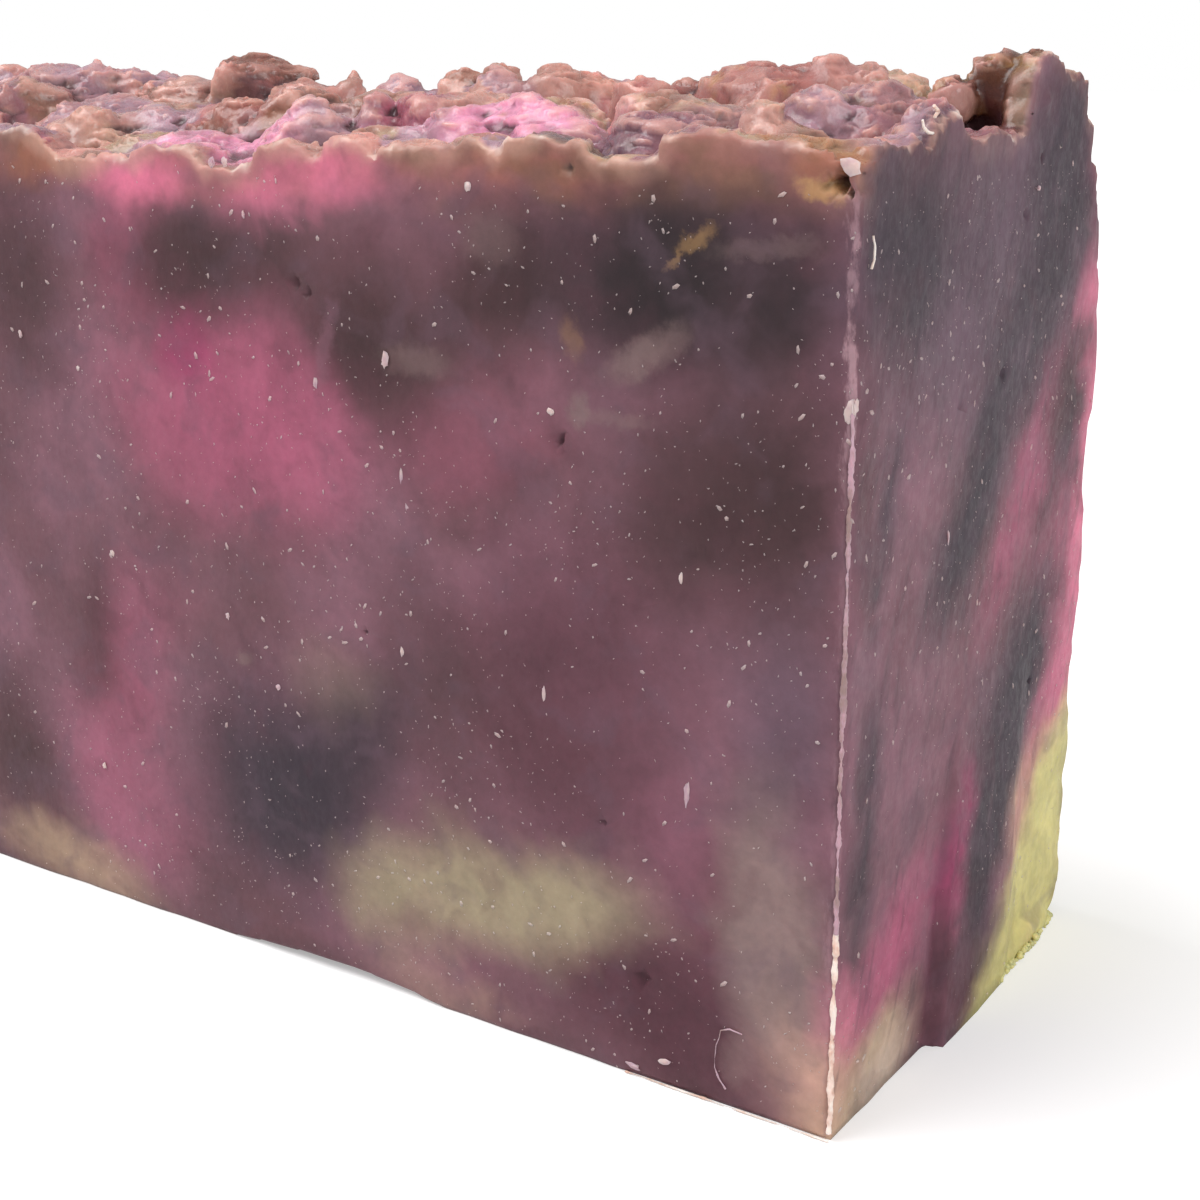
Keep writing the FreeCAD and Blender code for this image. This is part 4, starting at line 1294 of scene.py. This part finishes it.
FLAKES = (
    Flake(Face.FRONT, 33.0, 45.0, 0.36, 0.75, 8),
    Flake(Face.FRONT, 39.0, 43.0, 0.22, 0.5),
    Flake(Face.FRONT, 32.0, 37.6, 0.24, 0.8),
    Flake(Face.FRONT, 31.6, 35.6, 0.3, 0.7, -6),
    Flake(Face.FRONT, 60.0, 28.5, 0.3, 0.4),
    Flake(Face.FRONT, 48.5, 25.5, 0.24, 0.36),
    Flake(Face.FRONT, 44.0, 21.0, 0.24, 0.34),
    Flake(Face.FRONT, 21.0, 25.0, 0.2, 0.7),
    Flake(Face.FRONT, 10.5, 20.5, 0.3, 1.1),
    Flake(Face.FRONT, 11.0, 34.0, 0.2, 0.6),
    Flake(Face.FRONT, 62.0, 42.0, 0.22, 0.3),
    Flake(Face.FRONT, 68.0, 44.0, 0.24, 0.4),
    Flake(Face.FRONT, 63.0, 11.0, 0.24, 0.4),
    Flake(Face.FRONT, 32.5, 25.7, 0.2, 0.55),
    Flake(Face.FRONT, 20.2, 43.0, 0.3, 0.3),
    Flake(Face.FRONT, 12.0, 1.8, 0.6, 0.28, -12),
    Flake(Face.FRONT, 14.4, 0.7, 0.7, 0.26, 16),
    Flake(Face.FRONT, 26.0, 56.0, 0.3, 0.4),
    Flake(Face.FRONT, 47.2, 56.8, 0.34, 0.5, 20),
    Flake(Face.FRONT, 46.0, 56.9, 0.3, 0.42),
    Flake(Face.FRONT, 44.6, 53.6, 0.16, 0.3),
    Flake(Face.FRONT, 0.5, 45.0, 0.5, 0.85, 10),
    Flake(Face.FRONT, 0.9, 57.8, 0.8, 0.6, 30),
    Flake(Face.END, 0.5, 45.2, 0.6, 0.7),
    Flake(Face.END, 14.0, 35.0, 0.16, 0.6, 10),
    Flake(Face.END, 25.8, 55.2, 0.22, 0.2),
)


@dataclass
class PaleFlakes:
    """The larger pale flakes, each a flat, uneven crumb."""

    bar: Bar
    seed: int = 5
    size: float = 0.72             # scales every flake
    thickness: float = 0.10
    uneven: float = 0.35
    sunk: float = 0.24             # how deep a flake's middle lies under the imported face
    skin: float = 0.03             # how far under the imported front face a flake's points stay

    def build(self, material: bpy.types.Material) -> bpy.types.Object:
        """Builds all the flakes as one piece."""
        dice = random.Random(self.seed)
        work = bmesh.new()
        for flake in FLAKES:
            on_front = flake.face is Face.FRONT
            place = self.bar.on_front if on_front else self.bar.on_end
            turned = Matrix.Rotation(math.radians(flake.turn), 4, "Y" if on_front else "X")
            wide, high = flake.half_along * self.size, flake.half_up * self.size
            reach = (wide, self.thickness, high) if on_front else (self.thickness, wide, high)
            inset = Vector((0, self.sunk, 0)) if on_front else Vector((-self.sunk, 0, 0))
            moved = Matrix.Translation((place(flake.along, flake.up) + inset) * MM) @ turned
            made = bmesh.ops.create_icosphere(work, subdivisions=2, radius=1.0)["verts"]
            for vertex in made:
                vertex.co *= 1.0 + dice.uniform(-self.uneven, self.uneven)
                vertex.co = moved @ Vector([part * size * MM for part, size in zip(vertex.co, reach)])
                vertex.co.y = max(vertex.co.y, (self.bar.front + self.skin) * MM)
        return settle(piece_of(work, "pale_flakes", 50.0), material)


@dataclass
class FootCrumbs:
    """Crumbs of the soap's lowest layer, dragged out along the foot of the near end."""

    bar: Bar
    name: str
    first: float                   # from the front face
    last: float
    reach: float                   # how far they stand off the near end
    count: int
    small: float = 0.1
    large: float = 0.3
    seed: int = 12
    skin: float = 0.06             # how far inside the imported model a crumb's points stay
    lowest: float = 0.02           # how near they come to the ground

    def build(self, material: bpy.types.Material) -> bpy.types.Object:
        """Builds all the crumbs as one piece."""
        dice = random.Random(self.seed)
        most_x = self.bar.high.x / MM - self.skin
        work = bmesh.new()
        for _ in range(self.count):
            share = dice.random()
            size = self.small + (self.large - self.small) * dice.random() ** 2
            inward = self.first + (self.last - self.first) * share
            reach = self.reach * min(1.0, 4 * (1.0 - share), 4 * share)
            middle = self.bar.on_end(inward, size * dice.uniform(0.2, 1.4))
            middle.x += reach + dice.uniform(-0.3, 0.1)
            for vertex in bmesh.ops.create_icosphere(work, subdivisions=2, radius=size)["verts"]:
                vertex.co = middle + vertex.co * dice.uniform(0.8, 1.15)
                vertex.co.x = min(vertex.co.x, most_x)
                vertex.co.z = max(vertex.co.z, self.lowest)
                vertex.co *= MM
        return settle(piece_of(work, self.name, 60.0), material)


@dataclass
class Studio:
    """The plain pale floor, the soft lights and the camera at the photograph's place."""

    bar: Bar
    eye_back: float = 42.375       # from the near vertical edge, along X
    eye_out: float = 87.760        # from the front face, towards the viewer
    eye_up: float = 63.355
    yaw: float = -33.884
    pitch: float = 16.581
    roll: float = -0.376
    focal: float = 54.77
    floor_reach: float = 3.0       # half of the floor's side, in metres
    floor_grey: float = 0.72
    floor_glow: float = 0.34       # added where the camera looks at the floor
    room_light: float = 0.5        # the light from all around; the camera sees it as white
    aim: tuple[float, float, float] = (0.03, 0, 0.03)    # where the softbox points, in metres

    def build(self) -> None:
        """Adds floor, lights, world and camera."""
        scene = bpy.context.scene
        scene.view_settings.view_transform = "Standard"
        self.add_floor()
        self.add_world(scene)
        self.add_sun("window", (0.5, 0.34, -1.0), 45.0, 0.85)
        self.add_light("right_softbox", (0.50, -0.22, 0.30), 0.30, 1.6)
        self.add_camera(scene)

    def add_floor(self) -> None:
        """Adds the floor, which shows nearly white and keeps the bar's shadow."""
        mesh = bpy.data.meshes.new("floor")
        reach = self.floor_reach
        corners = [(-reach, -reach, 0), (reach, -reach, 0), (reach, reach, 0), (-reach, reach, 0)]
        mesh.from_pydata(corners, [], [(0, 1, 2, 3)])
        floor = new_piece("floor", mesh)
        material = bpy.data.materials.new("pale_floor")
        tree = empty_tree(material)
        paper = tree.add("ShaderNodeBsdfDiffuse", {"Color": (*[self.floor_grey] * 3, 1)}).outputs[0]
        glow = tree.add("ShaderNodeEmission", {"Color": (1, 1, 1, 1), "Strength": self.floor_glow}).outputs[0]
        seen = tree.add("ShaderNodeAddShader", {0: paper, 1: glow}).outputs[0]
        ray = tree.add("ShaderNodeLightPath").outputs["Is Camera Ray"]
        tree.show(tree.add("ShaderNodeMixShader", {0: ray, 1: paper, 2: seen}).outputs[0])
        mesh.materials.append(material)

    def add_world(self, scene: bpy.types.Scene) -> None:
        """Adds the plain surroundings: soft grey light, seen as white."""
        world = bpy.data.worlds.new("plain_room")
        tree = empty_tree(world)
        seen = tree.product(tree.add("ShaderNodeLightPath").outputs["Is Camera Ray"], 1.0 - self.room_light)
        strength = tree.math("ADD", self.room_light, seen)
        light = tree.add("ShaderNodeBackground", {"Color": (1, 1, 1, 1), "Strength": strength})
        tree.show(light.outputs[0], "ShaderNodeOutputWorld")
        scene.world = world

    def add_sun(self, name: str, heading: tuple[float, float, float], spread: float, strength: float) -> None:
        """Adds a broad, even light, as from a window.

        Args:
            name: The light's name.
            heading: The way the light travels.
            spread: The angle that the light's source fills, in degrees.
            strength: The light's strength on a surface that faces it.
        """
        lamp = bpy.data.lights.new(name, "SUN")
        lamp.angle, lamp.energy = math.radians(spread), strength * math.pi
        self.hang(lamp, Vector((0, 0, 0)), Vector(heading))

    def add_light(self, name: str, place: tuple[float, float, float], side: float, power: float) -> None:
        """Adds a square soft light that faces the bar.

        Args:
            name: The light's name.
            place: Where it hangs, in metres.
            side: The length of its sides, in metres.
            power: Its power in watts.
        """
        lamp = bpy.data.lights.new(name, "AREA")
        lamp.size, lamp.energy = side, power
        self.hang(lamp, Vector(place), Vector(self.aim) - Vector(place))

    def hang(self, lamp: bpy.types.Light, place: Vector, heading: Vector) -> None:
        """Puts a lamp in its place and turns it the way that its light travels."""
        light = bpy.data.objects.new(lamp.name, lamp)
        light.location = place
        light.rotation_euler = heading.to_track_quat("-Z", "Y").to_euler()
        bpy.context.scene.collection.objects.link(light)

    def add_camera(self, scene: bpy.types.Scene) -> None:
        """Adds the camera where the photograph was taken from."""
        lens = bpy.data.cameras.new("camera")
        lens.lens, lens.sensor_width = self.focal, 36.0
        lens.clip_start = 0.005
        camera = bpy.data.objects.new("camera", lens)
        edge = self.bar.on_front(0, 0)
        camera.location = Vector((edge.x + self.eye_back, edge.y - self.eye_out, self.eye_up)) * MM
        yaw, pitch, roll = (math.radians(angle) for angle in (self.yaw, self.pitch, self.roll))
        look = Vector((math.sin(yaw) * math.cos(pitch), math.cos(yaw) * math.cos(pitch), -math.sin(pitch)))
        right = Vector((math.cos(yaw), -math.sin(yaw), 0))
        over = right.cross(look)
        tilted = right * math.cos(roll) + over * math.sin(roll)
        upright = over * math.cos(roll) - right * math.sin(roll)
        turn = camera.rotation_euler.to_matrix()
        for row in range(3):
            turn[row] = (tilted[row], upright[row], -look[row])
        camera.rotation_euler = turn.to_euler()
        scene.collection.objects.link(camera)
        scene.camera = camera


def ridges(bar: Bar) -> list[RaggedRidge]:
    """Lists the thin ridges that the cutter left along edges and on faces."""
    skin = Vector((0.0, 0.22, 0.0))
    edge = [bar.on_front(0.28, up) + skin * 1.2 for up in (13.5, 20, 32, 45)]
    foot = [bar.on_front(back, 0.12) + skin for back in (15, 11, 7, 3, 0.3)]
    film = [bar.on_front(back, up) + skin for back, up in (
        (6.4, 5.5), (7.3, 5.6), (7.9, 5.3), (8.0, 4.7), (8.2, 4.2), (8.3, 3.4),
        (8.3, 2.6), (8.0, 1.9), (7.5, 1.3))]
    pale_curl = [bar.on_end(inward, up) - Vector((0.8, 0, 0)) for inward, up in (
        (10.3, 60.6), (10.9, 60.3), (10.4, 60.0), (10.8, 59.7), (10.2, 59.4))]
    low_curl = [bar.on_end(inward, up) - Vector((0.5, 0, 0)) for inward, up in (
        (8.1, 59.9), (8.3, 59.5), (9.0, 59.2), (10.0, 59.1), (10.4, 59.4))]
    end_curl = [bar.on_end(inward, up) for inward, up in (
        (1.4, 54.2), (1.65, 53.6), (1.6, 52.9), (1.3, 52.5))]
    low_edge = (bar.on_front(0.3, 0.6) + skin * 1.4, bar.on_front(0.25, 14.0) + skin * 1.2)
    return [
        RaggedRidge("near_edge_burr", tuple(edge), 0.17, 4.2, 3.0, 1.8),
        RaggedRidge("near_foot_burr", low_edge, 0.24, 2.6, 1.0, 1.2),
        RaggedRidge("front_foot_burr", tuple(foot), 0.08, 4.0, 7.0),
        RaggedRidge("scuff_film", tuple(film), 0.05, 4.5, 2.0, 2.6),
        RaggedRidge("pale_curl", tuple(pale_curl), 0.17, 1.2, 4.0, 1.0),
        RaggedRidge("low_curl", tuple(low_curl), 0.13, 1.2, 6.0, 1.0),
        RaggedRidge("end_curl", tuple(end_curl), 0.13, 1.2, 5.0, 1.0),
    ]


def main() -> None:
    """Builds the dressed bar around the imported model."""
    logging.basicConfig(level=logging.INFO, format="%(name)s %(message)s")
    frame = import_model()
    bar = Bar(*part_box(NODE))
    Studio(bar).build()
    soap = SwirledSoap(bar).build()
    scrap = PaleScrap("pale_scrap", Pigment.CREAM, Pigment.PEACH).build()
    speck = PaleScrap("pale_speck", Pigment.SPECK, Pigment.SPECK, local=0.45).build()
    worn = PaleScrap("worn_scrap", Pigment.LILAC, Pigment.FOG).build()
    flake = PaleScrap("pale_flake", Pigment.SPECK, Pigment.LILAC).build()
    straw = PaleScrap("straw_crumb", Pigment.YELLOW, Pigment.YELLOW).build()
    cut_bar = CutBar(bar).build(frame["nodes"][NODE], soap)
    PaleSpecks(bar, "pale_specks", 0.26, 0.07, 0.22, 3, seed=8).build(cut_bar, speck)
    PaleSpecks(bar, "fine_specks", 0.8, 0.045, 0.08, 2, seed=21).build(cut_bar, speck)
    PaleFlakes(bar).build(flake)
    FootCrumbs(bar, "straw_crumbs", 20.0, 36.8, 0.62, 170).build(straw)
    for ridge in ridges(bar):
        ridge.build(worn if ridge.name in ("near_edge_burr", "scuff_film") else scrap)


if __name__ == "__main__":
    main()
